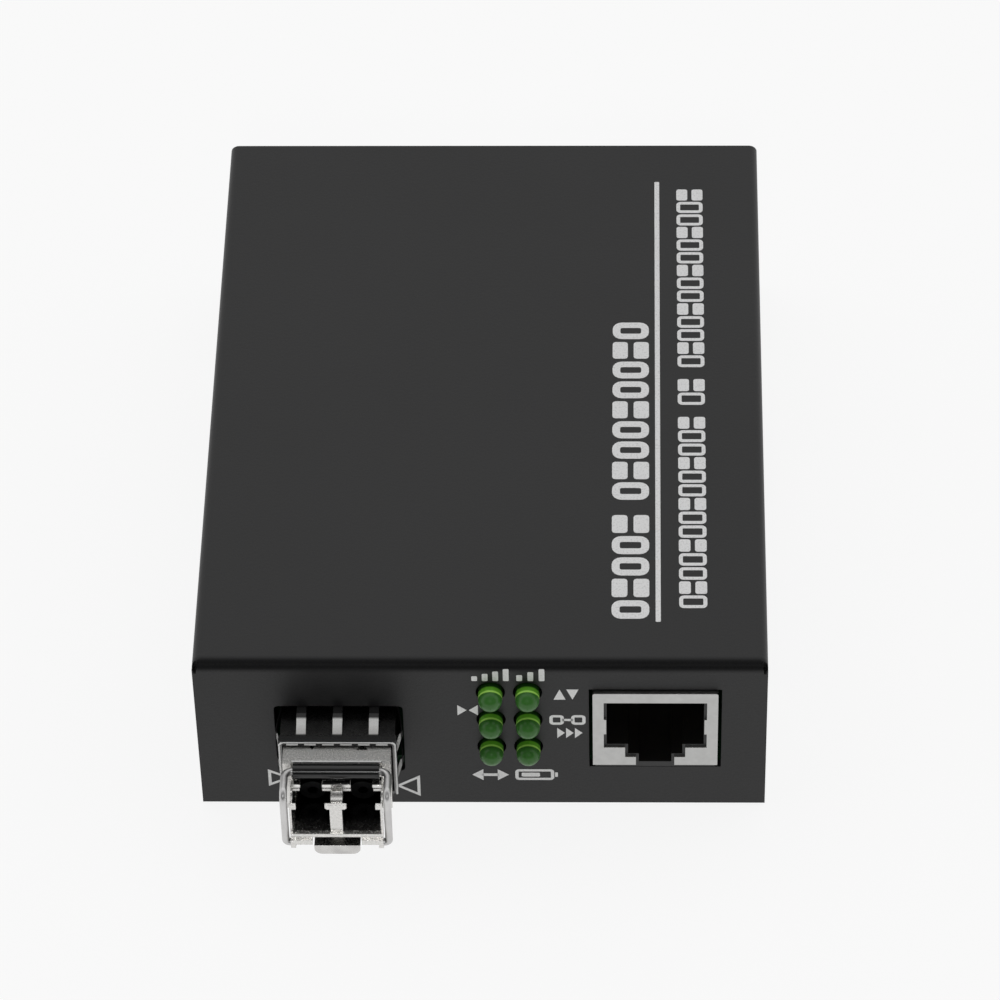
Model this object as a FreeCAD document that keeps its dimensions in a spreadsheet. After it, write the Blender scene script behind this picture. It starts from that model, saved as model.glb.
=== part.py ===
"""Fibre media converter with one copper port and one hot-plug optical module.

A folded steel cover and a base pan hold a circuit board.  A shielded network jack, an optical module
cage and six lamps look out of the front panel, and a power inlet out of the rear one.  The optical
module slides out of its cage towards the front, its wire bail swings forward and down, and the bail
rocks a latch lever on the module's underside.

Units are millimetres.  The origin is the middle of the case's underside, +X is to the right of
somebody facing the front panel, +Y is towards the rear and +Z is up.
"""
import FreeCAD, Part
import math
import os
import re
import Sketcher
from FreeCAD import Placement, Rotation, Vector

DOC = FreeCAD.newDocument("media_converter")

# name, size in millimetres (or degrees, or a count), meaning
SIZES = (
    ("case_width", 71.0, "cover, left to right"),
    ("case_depth", 94.0, "cover, front to rear"),
    ("case_height", 26.0, "underside to top"),
    ("gauge", 1.0, "sheet of the cover and the pan"),
    ("bend_radius", 1.1, "outside radius of the folded edges"),
    ("pan_gap", 0.2, "air between the cover and the pan"),
    ("seam_gap", 0.2, "slit between the front flange and the sides"),
    ("relief_radius", 0.4, "bend relief hole at the top front corners"),
    ("flange_height", 7.0, "low side flanges of the pan"),
    ("lip_height", 3.6, "front lip of the pan"),
    ("vent_width", 1.6, "one side vent slot"),
    ("vent_height", 10.0, "one side vent slot, end to end"),
    ("vent_pitch", 4.0, "slot to slot"),
    ("vent_count", 7, "slots on each side"),
    ("vent_middle", 14.5, "height of the slots' middle"),
    ("vent_start", -4.0, "first slot, from the middle of the case"),
    ("side_screw_spread", 30.0, "side screws, before and behind the middle"),
    ("side_screw_height", 4.0, "side screws, above the underside"),
    ("screw_shank", 1.45, "radius of the screws' shanks"),
    ("screw_head", 2.7, "radius of the screws' heads"),
    ("screw_play", 0.05, "radial air round a shank or a countersunk head"),
    ("side_screw_length", 5.0, "countersunk side screw"),
    ("board_screw_length", 6.0, "board screw under its head"),
    ("board_screw_rise", 1.8, "height of the board screw's head"),
    ("keyhole_radius", 3.4, "round end of a wall keyhole"),
    ("keyhole_slot", 1.7, "half width of the keyhole's slot"),
    ("keyhole_reach", 6.0, "from the round end to the slot's end"),
    ("keyhole_spread", 22.0, "keyholes, before and behind the middle"),
    ("board_gauge", 1.6, "circuit board"),
    ("board_top", 7.3, "component side of the board, above the underside"),
    ("board_margin", 1.0, "board edge to the pan's flanges"),
    ("board_setback", 0.5, "board edge to the front and rear panels"),
    ("standoff_flats", 5.0, "hexagon across its flats"),
    ("standoff_shank", 2.1, "radius pressed into the pan"),
    ("post_edge", 3.3, "board screws, in from the board's side edges"),
    ("post_rear_edge", 7.5, "rear board screws, in from the board's rear edge"),
    ("post_left_front", 11.0, "front left board screw, behind the panel front"),
    ("post_right_front", 27.0, "front right board screw, behind the panel front"),
    ("jack_inset", 13.85, "middle of the network jack, in from the case's right side"),
    ("jack_width", 15.55, "shield, left to right"),
    ("jack_height", 13.9, "shield above the board"),
    ("jack_depth", 21.3, "shield, front to rear"),
    ("jack_proud", 0.5, "shield face in front of the panel"),
    ("jack_air", 0.3, "panel window over and under the jack"),
    ("jack_side_air", 0.45, "panel window beside the jack"),
    ("shield_gauge", 0.3, "shield sheet"),
    ("shield_rise", 0.55, "lower edge of the shield's face above the board"),
    ("plug_half", 6.4, "half the wide part of the jack's mouth"),
    ("plug_ceiling", 12.2, "top of the mouth above the board"),
    ("plug_floor", 3.85, "bottom of the wide part"),
    ("step_half", 3.75, "half the upper step of the tab way"),
    ("step_floor", 2.05, "bottom of the upper step"),
    ("tab_half", 2.4, "half the lower step of the tab way"),
    ("ledge", 0.36, "plastic seen inside the shield's mouth"),
    ("mouth_sill", 0.9, "plastic sill of the mouth above the board"),
    ("mouth_depth", 13.6, "depth of the jack's cavity"),
    ("trough_front", 1.5, "contact trough behind the panel front"),
    ("trough_depth", 0.6, "contact trough above the mouth"),
    ("contact_count", 8, "spring contacts"),
    ("contact_pitch", 1.02, "contact to contact"),
    ("contact_width", 0.45, "one contact"),
    ("contact_gauge", 0.3, "one contact, through its thickness"),
    ("contact_drop", 2.8, "contact, front end to tail"),
    ("contact_lead", 1.0, "level front end of a contact"),
    ("contact_tail", 3.0, "level tail of a contact"),
    ("side_tab_low", 6.35, "side spring tabs of the mouth, lower edge"),
    ("side_tab_high", 9.05, "side spring tabs of the mouth, upper edge"),
    ("slot_inset", 17.8, "middle of the optical slot, in from the case's left side"),
    ("cage_width", 14.2, "cage, left to right"),
    ("cage_height", 9.6, "cage above the board"),
    ("cage_gauge", 0.25, "cage sheet"),
    ("cage_lip", 4.7, "cage front edge in front of the panel"),
    ("cage_length", 48.8, "cage, front to rear"),
    ("cage_floor", 37.5, "floor of the cage, from its front edge"),
    ("window_air", 0.9, "panel window beside the cage"),
    ("window_top", 11.0, "panel window above the board"),
    ("window_low", 1.2, "panel window below the board's top"),
    ("window_corner", 0.6, "corner radius of the window"),
    ("tab_width", 6.0, "latch tab in the cage's floor"),
    ("tab_slit", 0.25, "slit beside the latch tab"),
    ("tab_length", 13.2, "latch tab, front to root"),
    ("tab_dip", 0.5, "drop of the tab's lead-in"),
    ("tab_setback", 0.4, "tab's lead-in behind the cage's front edge"),
    ("tab_ramp", 1.2, "tab's lead-in, front to rear"),
    ("tab_clearance", 1.0, "board notch round the tab"),
    ("collar_gauge", 0.2, "spring collar over the cage's front"),
    ("collar_band", 0.9, "plain band of the collar"),
    ("finger_width", 1.18, "one spring finger"),
    ("finger_pitch", 4.5, "top fingers, middle to middle"),
    ("finger_air", 0.07, "finger crest to the panel window"),
    ("finger_rise", 3.0, "finger's straight climb, from the cage's front edge"),
    ("finger_crest", 3.6, "finger's crest, from the cage's front edge"),
    ("finger_fall", 5.3, "end of the finger's crest, from the cage's front edge"),
    ("finger_bow", 0.2, "drop of the finger before and behind its crest"),
    ("low_finger_gap", 2.2, "lower fingers, out from the latch tab"),
    ("finger_reach", 7.8, "finger, from the cage's front edge"),
    ("finger_gauge", 0.16, "finger strip"),
    ("clip_width", 1.45, "folded clip inside the collar's lip"),
    ("clip_length", 1.3, "folded clip, front to rear"),
    ("clip_count", 6, "folded clips"),
    ("clip_pitch", 2.22, "folded clips, middle to middle"),
    ("host_air", 0.45, "host connector to the cage's side walls"),
    ("host_height", 5.6, "host connector above the board"),
    ("host_length", 7.0, "host connector, front to rear"),
    ("host_start", 36.8, "host connector's face behind the panel front"),
    ("host_lead", 0.6, "chamfer on the host connector's upper front edge"),
    ("card_play", 0.1, "air round the module's card edge"),
    ("card_width", 10.0, "module's board"),
    ("card_gauge", 1.0, "module's board"),
    ("card_low", 3.0, "module's board above the circuit board"),
    ("card_length", 5.0, "card edge inside the host connector"),
    ("module_air", 0.175, "air between the module and the cage at each side"),
    ("module_low", 0.45, "module underside above the board"),
    ("module_top", 8.9, "module top above the board"),
    ("module_front", 7.2, "module top's front edge in front of the panel"),
    ("module_gap", 0.4, "module body to the host connector"),
    ("module_wall", 1.0, "module casting"),
    ("cavity_start", 6.0, "module cavity behind the panel front"),
    ("pan_sheet", 0.25, "module's bottom cover"),
    ("sleeve_notch", 11.2, "notch in the module's top for the sleeve"),
    ("notch_depth", 0.35, "depth of that notch, front to rear"),
    ("mark_size", 1.5, "engraved triangle"),
    ("mark_depth", 0.15, "depth of the engraving"),
    ("mark_spread", 3.1, "triangles left and right of the middle"),
    ("mark_front", 4.6, "triangles in front of the panel"),
    ("nose_inset", 0.925, "module's side to the nose's side"),
    ("nose_front", 12.5, "face of the optical ports"),
    ("lip_front", 12.9, "front edge of the ports' floor"),
    ("lip_corner", 0.6, "rounded lower corners of the nose"),
    ("nose_low", 0.05, "nose underside above the board"),
    ("port_floor", 1.72, "floor of the ports above the board"),
    ("port_width", 4.7, "one port"),
    ("port_height", 4.2, "one port"),
    ("port_depth", 7.5, "one port, front to rear"),
    ("shoulder_top", 6.75, "top of the ports' front bars"),
    ("shoulder_width", 2.7, "front bar over the middle wall"),
    ("shoulder_depth", 0.35, "front bar, front to rear"),
    ("shoulder_nick", 0.25, "cut lower corners of the front bar"),
    ("neck_width", 2.15, "hollow neck behind the bar"),
    ("neck_end", 5.9, "height of the neck at both of its ends"),
    ("neck_bow", 1.9, "radius of the neck's hollow"),
    ("crossbar_width", 3.55, "rear bar under the sleeve"),
    ("crossbar_front", 9.5, "front of the rear bar"),
    ("crossbar_top", 6.4, "top of the rear bar"),
    ("crossbar_depth", 0.7, "rear bar, front to rear"),
    ("side_bar", 0.85, "front bar at the nose's sides"),
    ("side_neck", 0.7, "neck at the nose's sides"),
    ("side_crossbar", 1.2, "rear bar at the nose's sides"),
    ("optic_pitch", 6.25, "port to port"),
    ("optic_height", 3.8, "optical axes above the board"),
    ("barrel_radius", 1.6, "barrel inside the nose"),
    ("barrel_front", 7.5, "barrel face in front of the panel"),
    ("barrel_play", 0.1, "air round the barrel"),
    ("can_play", 0.1, "can behind the cavity's front wall"),
    ("can_radius", 2.35, "rear can of the barrel"),
    ("can_length", 6.0, "rear can of the barrel"),
    ("ferrule_radius", 0.625, "bore for the fibre plug's ferrule"),
    ("ferrule_depth", 5.0, "bore for the fibre plug's ferrule"),
    ("bail_front", 12.4, "bail's upright wires in front of the panel"),
    ("bail_pin_height", -0.3, "bail's hinge pins above the board"),
    ("bail_bar_height", 8.4, "bail's cross bar above the board"),
    ("bail_bar_front", 8.4, "bail's cross bar in front of the panel"),
    ("bail_spread", 0.65, "middle of the bail's arms outside the nose's sides"),
    ("bail_radius", 0.47, "bail wire"),
    ("bail_bend", 1.0, "upper bends of the bail wire"),
    ("bail_pin_bend", 0.5, "bends into the bail's hinge pins"),
    ("bail_pin_length", 1.2, "pin past the arm's middle"),
    ("pin_play", 0.05, "radial air round the hinge pins"),
    ("ear_radius", 0.8, "ear round the bail's pin"),
    ("ear_width", 0.6, "ear, left to right"),
    ("sleeve_radius", 1.0, "sleeve on the bail's cross bar"),
    ("sleeve_length", 10.7, "sleeve on the bail's cross bar"),
    ("lever_width", 5.7, "latch lever"),
    ("lever_play", 0.2, "air beside the lever"),
    ("lever_low", 0.4, "underside of the lever's arm"),
    ("lever_gauge", 0.5, "lever's arm"),
    ("lever_air", 0.25, "groove's roof above the lever"),
    ("lever_lift", 1.13, "rise of the groove's roof over the lever's tail"),
    ("lever_crank", 3.3, "crank of the lever behind its front tab"),
    ("crank_length", 0.6, "crank, front to rear"),
    ("lever_pivot", 6.0, "lever's trunnions in front of the panel"),
    ("lever_pivot_height", 0.8, "lever's trunnions above the board"),
    ("trunnion_radius", 0.3, "lever's trunnions"),
    ("trunnion_length", 0.6, "lever's trunnions past its side"),
    ("lever_tail", 3.8, "end of the lever behind the panel front"),
    ("boss_front", 1.4, "latch boss's square face behind the panel front"),
    ("boss_length", 2.0, "latch boss, front to rear"),
    ("boss_drop", 0.8, "latch boss under the lever"),
    ("boss_width", 3.0, "latch boss"),
    ("boss_flat", 0.6, "level part of the boss before its ramp"),
    ("handle_front", 13.2, "lever's front tab in front of the panel"),
    ("handle_gauge", 0.8, "lever's front tab"),
    ("handle_top", -0.1, "lever's front tab, upper edge"),
    ("handle_low", -1.7, "lever's front tab, lower edge"),
    ("handle_round", 1.0, "rounded lower corners of the tab"),
    ("lamp_x", 1.25, "left column of lamps"),
    ("lamp_pitch_x", 4.6, "column to column"),
    ("lamp_rise", 3.49, "lowest row of lamps above the board"),
    ("lamp_drop", 5.05, "highest row of lamps below the case's top"),
    ("lamp_radius", 1.5, "lamp body"),
    ("lamp_hole", 1.8, "panel hole round a lamp"),
    ("lamp_proud", 2.8, "lamp tip in front of the panel"),
    ("lamp_flange", 1.85, "radius of the lamp's flange"),
    ("lamp_flange_gauge", 1.0, "lamp's flange"),
    ("lamp_base", 2.5, "lamp's rear face behind the panel front"),
    ("holder_margin", 2.2, "lamp holder past the outer lamps"),
    ("holder_depth", 6.0, "lamp holder, front to rear"),
    ("lead_width", 0.5, "lamp lead"),
    ("lead_play", 0.15, "air round a lead in the holder"),
    ("lead_spread", 1.27, "lamp leads from the lamp's middle"),
    ("lead_step", 1.2, "lead bend to lead bend, row by row"),
    ("inlet_inset", 15.5, "middle of the power inlet, in from the case's left side"),
    ("inlet_width", 9.0, "power inlet"),
    ("inlet_height", 11.0, "power inlet above the board"),
    ("inlet_depth", 14.4, "power inlet, front to rear"),
    ("inlet_proud", 0.3, "inlet face behind the rear panel's outside"),
    ("inlet_air", 0.3, "panel window round the inlet"),
    ("inlet_axis", 6.2, "inlet bore above the board"),
    ("inlet_bore", 3.15, "inlet bore, radius"),
    ("inlet_bore_depth", 9.5, "inlet bore"),
    ("inlet_flange", 3.3, "inlet's front flange"),
    ("inlet_step", 0.9, "inlet body set in behind its flange"),
    ("inlet_pin", 1.0, "centre pin, radius"),
    ("inlet_root", 1.4, "radius of the pin's root in the body"),
    ("inlet_root_length", 2.0, "root behind the bore's end"),
    ("inlet_pin_setback", 0.8, "pin tip behind the inlet's face"),
    ("inlet_tip", 0.5, "chamfer on the pin's tip"),
    ("spring_width", 1.4, "inlet's side contact"),
    ("spring_gauge", 0.25, "inlet's side contact"),
    ("spring_play", 0.1, "air round the side contact"),
    ("spring_front", 1.2, "front end of the side contact behind the inlet's face"),
    ("spring_bow", 0.35, "side contact's rise into the bore"),
    ("spring_sink", 0.6, "depth of the contact's groove under the bore"),
    ("chip_side", 14.0, "switch chip, both ways"),
    ("chip_height", 1.4, "switch chip"),
    ("magnetics_width", 12.6, "line transformer, left to right"),
    ("magnetics_depth", 9.6, "line transformer, front to rear"),
    ("magnetics_height", 5.9, "line transformer"),
    ("magnetics_gap", 4.4, "line transformer behind the jack"),
    ("regulator_side", 6.6, "voltage regulator, both ways"),
    ("regulator_height", 2.3, "voltage regulator"),
    ("crystal_width", 11.4, "timing crystal, left to right"),
    ("crystal_depth", 4.8, "timing crystal, front to rear"),
    ("crystal_height", 3.5, "timing crystal"),
    ("inductor_side", 7.3, "power inductor, both ways"),
    ("inductor_height", 4.5, "power inductor"),
    ("can_capacitor", 4.0, "bulk capacitor, radius"),
    ("capacitor_height", 11.5, "bulk capacitor"),
    ("capacitor_groove", 0.3, "bulk capacitor, depth of its groove"),
    ("part_gap", 3.0, "free board between the larger parts"),
    ("small_width", 0.9, "small part, left to right"),
    ("small_depth", 1.6, "small part, front to rear"),
    ("small_height", 0.7, "small part"),
    ("small_count", 6, "small parts in a column"),
    ("small_pitch", 2.6, "small part to small part"),
)

NAMES = re.compile(r"\b(" + "|".join(row[0] for row in SIZES) + r")\b")
NORMAL = {"XY_Plane": 1, "XZ_Plane": -1, "YZ_Plane": 1}


def fill_sheet():
    """Write the sizes into a spreadsheet, one named cell each."""
    sheet = DOC.addObject("Spreadsheet::Sheet", "dims")
    for row, (alias, number, meaning) in enumerate(SIZES, 1):
        sheet.set(f"A{row}", meaning)
        sheet.set(f"B{row}", str(number))
        sheet.setAlias(f"B{row}", alias)
    DOC.recompute()
    return sheet


SHEET = fill_sheet()


# ---------------------------------------------------------------- drawing helpers

def named(expression):
    """The expression with every size name spelt as a cell of the sheet."""
    return NAMES.sub(r"dims.\1", expression)


def value(expression):
    """The expression's number now."""
    return float(SHEET.evalExpression(named(expression)))


def new_body(label, x="0", y="0", z="0"):
    """An empty body whose origin is placed by three expressions."""
    body = DOC.addObject("PartDesign::Body", label)
    body.Label = label
    for axis, expression in zip("xyz", (x, y, z)):
        body.setExpression(f"Placement.Base.{axis}", named(expression))
    return body


def sketch(body, plane, at="0", across="0", up="0"):
    """A sketch parallel to an origin plane, `at` along the body's own axis.

    XZ sketches have x to the right and z up, YZ sketches y to the right and z up.
    """
    role = plane + "_Plane"
    flat = next(item for item in body.Origin.OriginFeatures if item.Role == role)
    drawing = body.newObject("Sketcher::SketchObject", body.Name + "_sketch")
    drawing.AttachmentSupport = [(flat, "")]
    drawing.MapMode = "FlatFace"
    offset = at if NORMAL[role] > 0 else f"-({at})"
    for axis, expression in zip("xyz", (across, up, offset)):
        drawing.setExpression(f"AttachmentOffset.Base.{axis}", named(expression))
    return drawing


def pin(drawing, kind, item, point, expression):
    """Hold one sketch point, or one radius, by an expression."""
    number = value(expression)
    if kind == "Radius":
        index = drawing.addConstraint(Sketcher.Constraint(kind, item, number))
    else:
        index = drawing.addConstraint(Sketcher.Constraint(kind, -1, 1, item, point, number))
    drawing.setExpression(f"Constraints[{index}]", named(expression))


def left_arc(start, end, radius):
    """Arc from start to end whose centre lies on the left of the way between them."""
    chord = end - start
    left = Vector(-chord.y, chord.x, 0).normalize()
    centre = (start + end) / 2 + left * math.sqrt(radius ** 2 - chord.Length ** 2 / 4)
    middle = centre - left * radius
    return Part.Arc(start, middle, end)


def outline(drawing, corners):
    """Closed outline through corners, each a pair of expressions.

    A third expression is the radius of an arc, centred on the left, to the next corner.
    """
    first = drawing.GeometryCount
    spots = [Vector(value(x), value(y), 0) for x, y, *_ in corners]
    for start, end, (_, _, *bow) in zip(spots, spots[1:] + spots[:1], corners):
        edge = left_arc(start, end, value(bow[0])) if bow else Part.LineSegment(start, end)
        drawing.addGeometry(edge, False)
    for step in range(len(spots)):
        after = first + (step + 1) % len(spots)
        drawing.addConstraint(Sketcher.Constraint("Coincident", first + step, 2, after, 1))
    for step, (x, y, *bow) in enumerate(corners):
        pin(drawing, "DistanceX", first + step, 1, x)
        pin(drawing, "DistanceY", first + step, 1, y)
        if bow:
            pin(drawing, "Radius", first + step, 0, bow[0])


def rectangle(drawing, x_low, x_high, y_low, y_high):
    """Closed rectangle between four expressions."""
    outline(drawing, ((x_low, y_low), (x_high, y_low), (x_high, y_high), (x_low, y_high)))


def circle(drawing, x, y, radius):
    """Circle held by three expressions."""
    centre = Vector(value(x), value(y), 0)
    item = drawing.addGeometry(Part.Circle(centre, Vector(0, 0, 1), value(radius)), False)
    pin(drawing, "DistanceX", item, 3, x)
    pin(drawing, "DistanceY", item, 3, y)
    pin(drawing, "Radius", item, 0, radius)


def hexagon(drawing, x, y, flats):
    """Regular hexagon, `flats` across its flats, with two corners on the y direction."""
    steps = ((0, 2), (1, 1), (1, -1), (0, -2), (-1, -1), (-1, 1))
    outline(drawing, [(f"{x} + {i} * {flats} / 2", f"{y} + {j} * {flats} / (2 * sqrt(3))")
                      for i, j in steps])


def slot(drawing, x, low, high, radius):
    """Upright slot with round ends, centred on x, its ends' centres at low and high."""
    centre_x, y_low, y_high, r = value(x), value(low), value(high), value(radius)
    axis = Vector(0, 0, 1)
    bottom = Part.Circle(Vector(centre_x, y_low, 0), axis, r)
    top = Part.Circle(Vector(centre_x, y_high, 0), axis, r)
    right = (Vector(centre_x + r, y_low, 0), Vector(centre_x + r, y_high, 0))
    left = (Vector(centre_x - r, y_high, 0), Vector(centre_x - r, y_low, 0))
    first = drawing.GeometryCount
    drawing.addGeometry(Part.ArcOfCircle(bottom, math.pi, 2 * math.pi), False)
    drawing.addGeometry(Part.LineSegment(*right), False)
    drawing.addGeometry(Part.ArcOfCircle(top, 0, math.pi), False)
    drawing.addGeometry(Part.LineSegment(*left), False)
    for step in range(4):
        after = first + (step + 1) % 4
        drawing.addConstraint(Sketcher.Constraint("Tangent", first + step, 2, after, 1))
    for item, centre_y in ((first, low), (first + 2, high)):
        pin(drawing, "DistanceX", item, 3, x)
        pin(drawing, "DistanceY", item, 3, centre_y)
    pin(drawing, "Radius", first, 0, radius)


def extrude(kind, body, drawing, length, towards):
    """Add a pad or a pocket that runs towards +1 or -1 along the sketch plane's axis."""
    made = body.newObject("PartDesign::" + kind, drawing.Name + kind)
    made.Profile = drawing
    made.setExpression("Length", named(length))
    normal = NORMAL[drawing.AttachmentSupport[0][0].Role]
    made.Reversed = (towards != normal) if kind == "Pad" else (towards == normal)
    drawing.Visibility = False
    return made


def pad(body, drawing, length, towards=1):
    """Pad a sketch."""
    return extrude("Pad", body, drawing, length, towards)


def pocket(body, drawing, length, towards=1):
    """Pocket a sketch."""
    return extrude("Pocket", body, drawing, length, towards)


def revolve(body, drawing, kind="Revolution", axis="V_Axis"):
    """Turn a sketch a full circle about one of its own axes."""
    made = body.newObject("PartDesign::" + kind, drawing.Name + kind)
    made.Profile = drawing
    made.ReferenceAxis = (drawing, [axis])
    made.Angle = 360
    return made


def straight_edge(axis, **spots):
    """Test for a straight edge along an axis whose middle has the given coordinates."""
    wanted = {name: value(expression) for name, expression in spots.items()}
    direction = {"x": Vector(1, 0, 0), "y": Vector(0, 1, 0), "z": Vector(0, 0, 1)}[axis]

    def test(edge):
        if edge.Curve.TypeId != "Part::GeomLine":
            return False
        if abs(edge.Curve.Direction.dot(direction)) < 0.999:
            return False
        middle = edge.CenterOfMass
        return all(abs(getattr(middle, name) - spot) < 0.01 for name, spot in wanted.items())
    return test


def round_edge(**spots):
    """Test for a circular edge whose centre has the given coordinates."""
    wanted = {name: value(expression) for name, expression in spots.items()}

    def test(edge):
        if edge.Curve.TypeId != "Part::GeomCircle":
            return False
        centre = edge.Curve.Center
        return all(abs(getattr(centre, name) - spot) < 0.01 for name, spot in wanted.items())
    return test


def soften(body, amount, tests, kind="Fillet"):
    """Fillet or chamfer each edge of the body that passes one of the tests."""
    DOC.recompute()
    base = body.Tip
    edges = [f"Edge{number}" for number, edge in enumerate(base.Shape.Edges, 1)
             if any(test(edge) for test in tests)]
    if len(edges) < len(tests):
        raise ValueError(f"{body.Label}: {len(edges)} edges found for {len(tests)} tests")
    made = body.newObject("PartDesign::" + kind, body.Name + kind)
    made.Base = (base, edges)
    made.setExpression("Radius" if kind == "Fillet" else "Size", named(amount))
    return made


def loose_group(label, solids, x="0", y="0", z="0"):
    """Separate solids that share one node."""
    group = DOC.addObject("Part::Feature", label)
    group.Label = label
    group.Shape = Part.makeCompound(solids)
    group.Placement = Placement(Vector(value(x), value(y), value(z)), Rotation())
    return group


def side_profile(points, x_low, width):
    """Solid of a (y, z) outline of numbers, from x_low to x_low + width."""
    wire = Part.makePolygon([Vector(x_low, y, z) for y, z in points + points[:1]])
    return Part.Face(wire).extrude(Vector(width, 0, 0))


# ---------------------------------------------------------------- case

INNER_HALF = "(case_width / 2 - gauge)"
PAN_HALF = "(case_width / 2 - gauge - pan_gap)"
PANEL_BACK = "(-case_depth / 2 + gauge)"
WALL_TOP = "(case_height - gauge)"
FRONT = "-case_depth / 2"
REAR = "case_depth / 2"
JACK_X = "(case_width / 2 - jack_inset)"
SLOT_X = "(slot_inset - case_width / 2)"
INLET_X = "(inlet_inset - case_width / 2)"
SIDE_SCREWS = ("-side_screw_spread", "side_screw_spread")
BOARD_HALF = f"({PAN_HALF} - gauge - board_margin)"
BOARD_FRONT = f"({PANEL_BACK} + board_setback)"
BOARD_REAR = f"({REAR} - gauge - board_setback)"
POST_HALF = f"({BOARD_HALF} - post_edge)"
BOARD_POSTS = (
    (f"-{POST_HALF}", f"{FRONT} + post_left_front"),
    (POST_HALF, f"{FRONT} + post_right_front"),
    (f"-{POST_HALF}", f"{BOARD_REAR} - post_rear_edge"),
    (POST_HALF, f"{BOARD_REAR} - post_rear_edge"),
)
CAGE_HALF = "(cage_width / 2)"
WINDOW_HALF = f"({CAGE_HALF} + window_air)"
MODULE_HALF = f"({CAGE_HALF} - cage_gauge - module_air)"
NOSE_HALF = f"({MODULE_HALF} - nose_inset)"
BAIL_HALF = f"({NOSE_HALF} + bail_spread)"
LAMP_LOW = "(board_top + lamp_rise)"
LAMP_PITCH = f"((case_height - lamp_drop - {LAMP_LOW}) / 2)"
LAMPS = [(column, row) for row in range(3) for column in range(2)]


def lamp_place(column, row):
    """Expressions for the middle of one lamp."""
    return f"lamp_x + {column} * lamp_pitch_x", f"{LAMP_LOW} + {row} * {LAMP_PITCH}"


def cut_lamp_holes(body):
    """Six round lamp holes in the front flange."""
    holes = sketch(body, "XZ", at=FRONT)
    for lamp in LAMPS:
        circle(holes, *lamp_place(*lamp), "lamp_hole")
    pocket(body, holes, "gauge")


def cut_front_windows(body):
    """Windows for the network jack and the optical cage in the front flange."""
    jack = sketch(body, "XZ", at=FRONT)
    half = "(jack_width / 2 + jack_side_air)"
    rectangle(jack, f"{JACK_X} - {half}", f"{JACK_X} + {half}",
              "board_top - jack_air", "board_top + jack_height + jack_air")
    pocket(body, jack, "gauge")
    cage = sketch(body, "XZ", at=FRONT)
    rectangle(cage, f"{SLOT_X} - {WINDOW_HALF}", f"{SLOT_X} + {WINDOW_HALF}",
              "board_top - window_low", "board_top + window_top")
    pocket(body, cage, "gauge")
    soften(body, "window_corner", [
        straight_edge("y", x=f"{SLOT_X} {side} {WINDOW_HALF}", z=f"board_top {height}")
        for side in "+-" for height in ("+ window_top", "- window_low")])


def cut_vents(body):
    """A row of upright slots through both sides."""
    slots = sketch(body, "YZ", at="-case_width / 2 - 1")
    reach = "(vent_height - vent_width) / 2"
    slot(slots, "vent_start", f"vent_middle - {reach}", f"vent_middle + {reach}", "vent_width / 2")
    first = pocket(body, slots, "case_width + 2")
    DOC.recompute()
    row = body.newObject("PartDesign::LinearPattern", "VentRow")
    row.Originals = [first]
    flat = next(item for item in body.Origin.OriginFeatures if item.Role == "Y_Axis")
    row.Direction = (flat, [""])
    row.setExpression("Occurrences", named("vent_count"))
    row.setExpression("Length", named("vent_pitch * (vent_count - 1)"))
    body.Tip = row


def cut_side_screws(body):
    """Countersunk holes for the four side screws."""
    for side, sign in (("-", 1), ("", -1)):
        for spot in SIDE_SCREWS:
            cone = sketch(body, "XY", at="side_screw_height", across=f"{side}case_width / 2",
                          up=spot)
            outline(cone, (("0", "0"), ("0", "screw_head + screw_play"),
                           (f"{sign} * gauge", "screw_shank + screw_play"),
                           (f"{sign} * gauge", "0")))
            revolve(body, cone, "Groove", "H_Axis")


def cover_shell():
    """Top, front flange and both sides, folded from one sheet and open below and behind."""
    body = new_body("cover_shell")
    blank = sketch(body, "XY")
    rectangle(blank, "-case_width / 2", "case_width / 2", FRONT, REAR)
    pad(body, blank, "case_height")
    soften(body, "bend_radius", [
        straight_edge("y", x="case_width / 2", z="case_height"),
        straight_edge("y", x="-case_width / 2", z="case_height"),
        straight_edge("x", y=FRONT, z="case_height")])
    room = sketch(body, "XY")
    rectangle(room, f"-{INNER_HALF}", INNER_HALF, PANEL_BACK, f"{REAR} + 1")
    pocket(body, room, WALL_TOP)
    for side in ("-", ""):
        seam = sketch(body, "XY")
        outer = f"{side}(case_width / 2 + 1)"
        rectangle(seam, f"{side}{INNER_HALF}", outer, PANEL_BACK, f"{PANEL_BACK} + seam_gap")
        pocket(body, seam, "case_height - bend_radius")
        relief = sketch(body, "XY", at="case_height - 1.5 * bend_radius")
        circle(relief, f"{side}(case_width / 2 - bend_radius / 3)", f"{FRONT} + bend_radius / 3",
               "relief_radius")
        pocket(body, relief, "2 * bend_radius")
    cut_front_windows(body)
    cut_lamp_holes(body)
    cut_vents(body)
    cut_side_screws(body)
    return body


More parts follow.
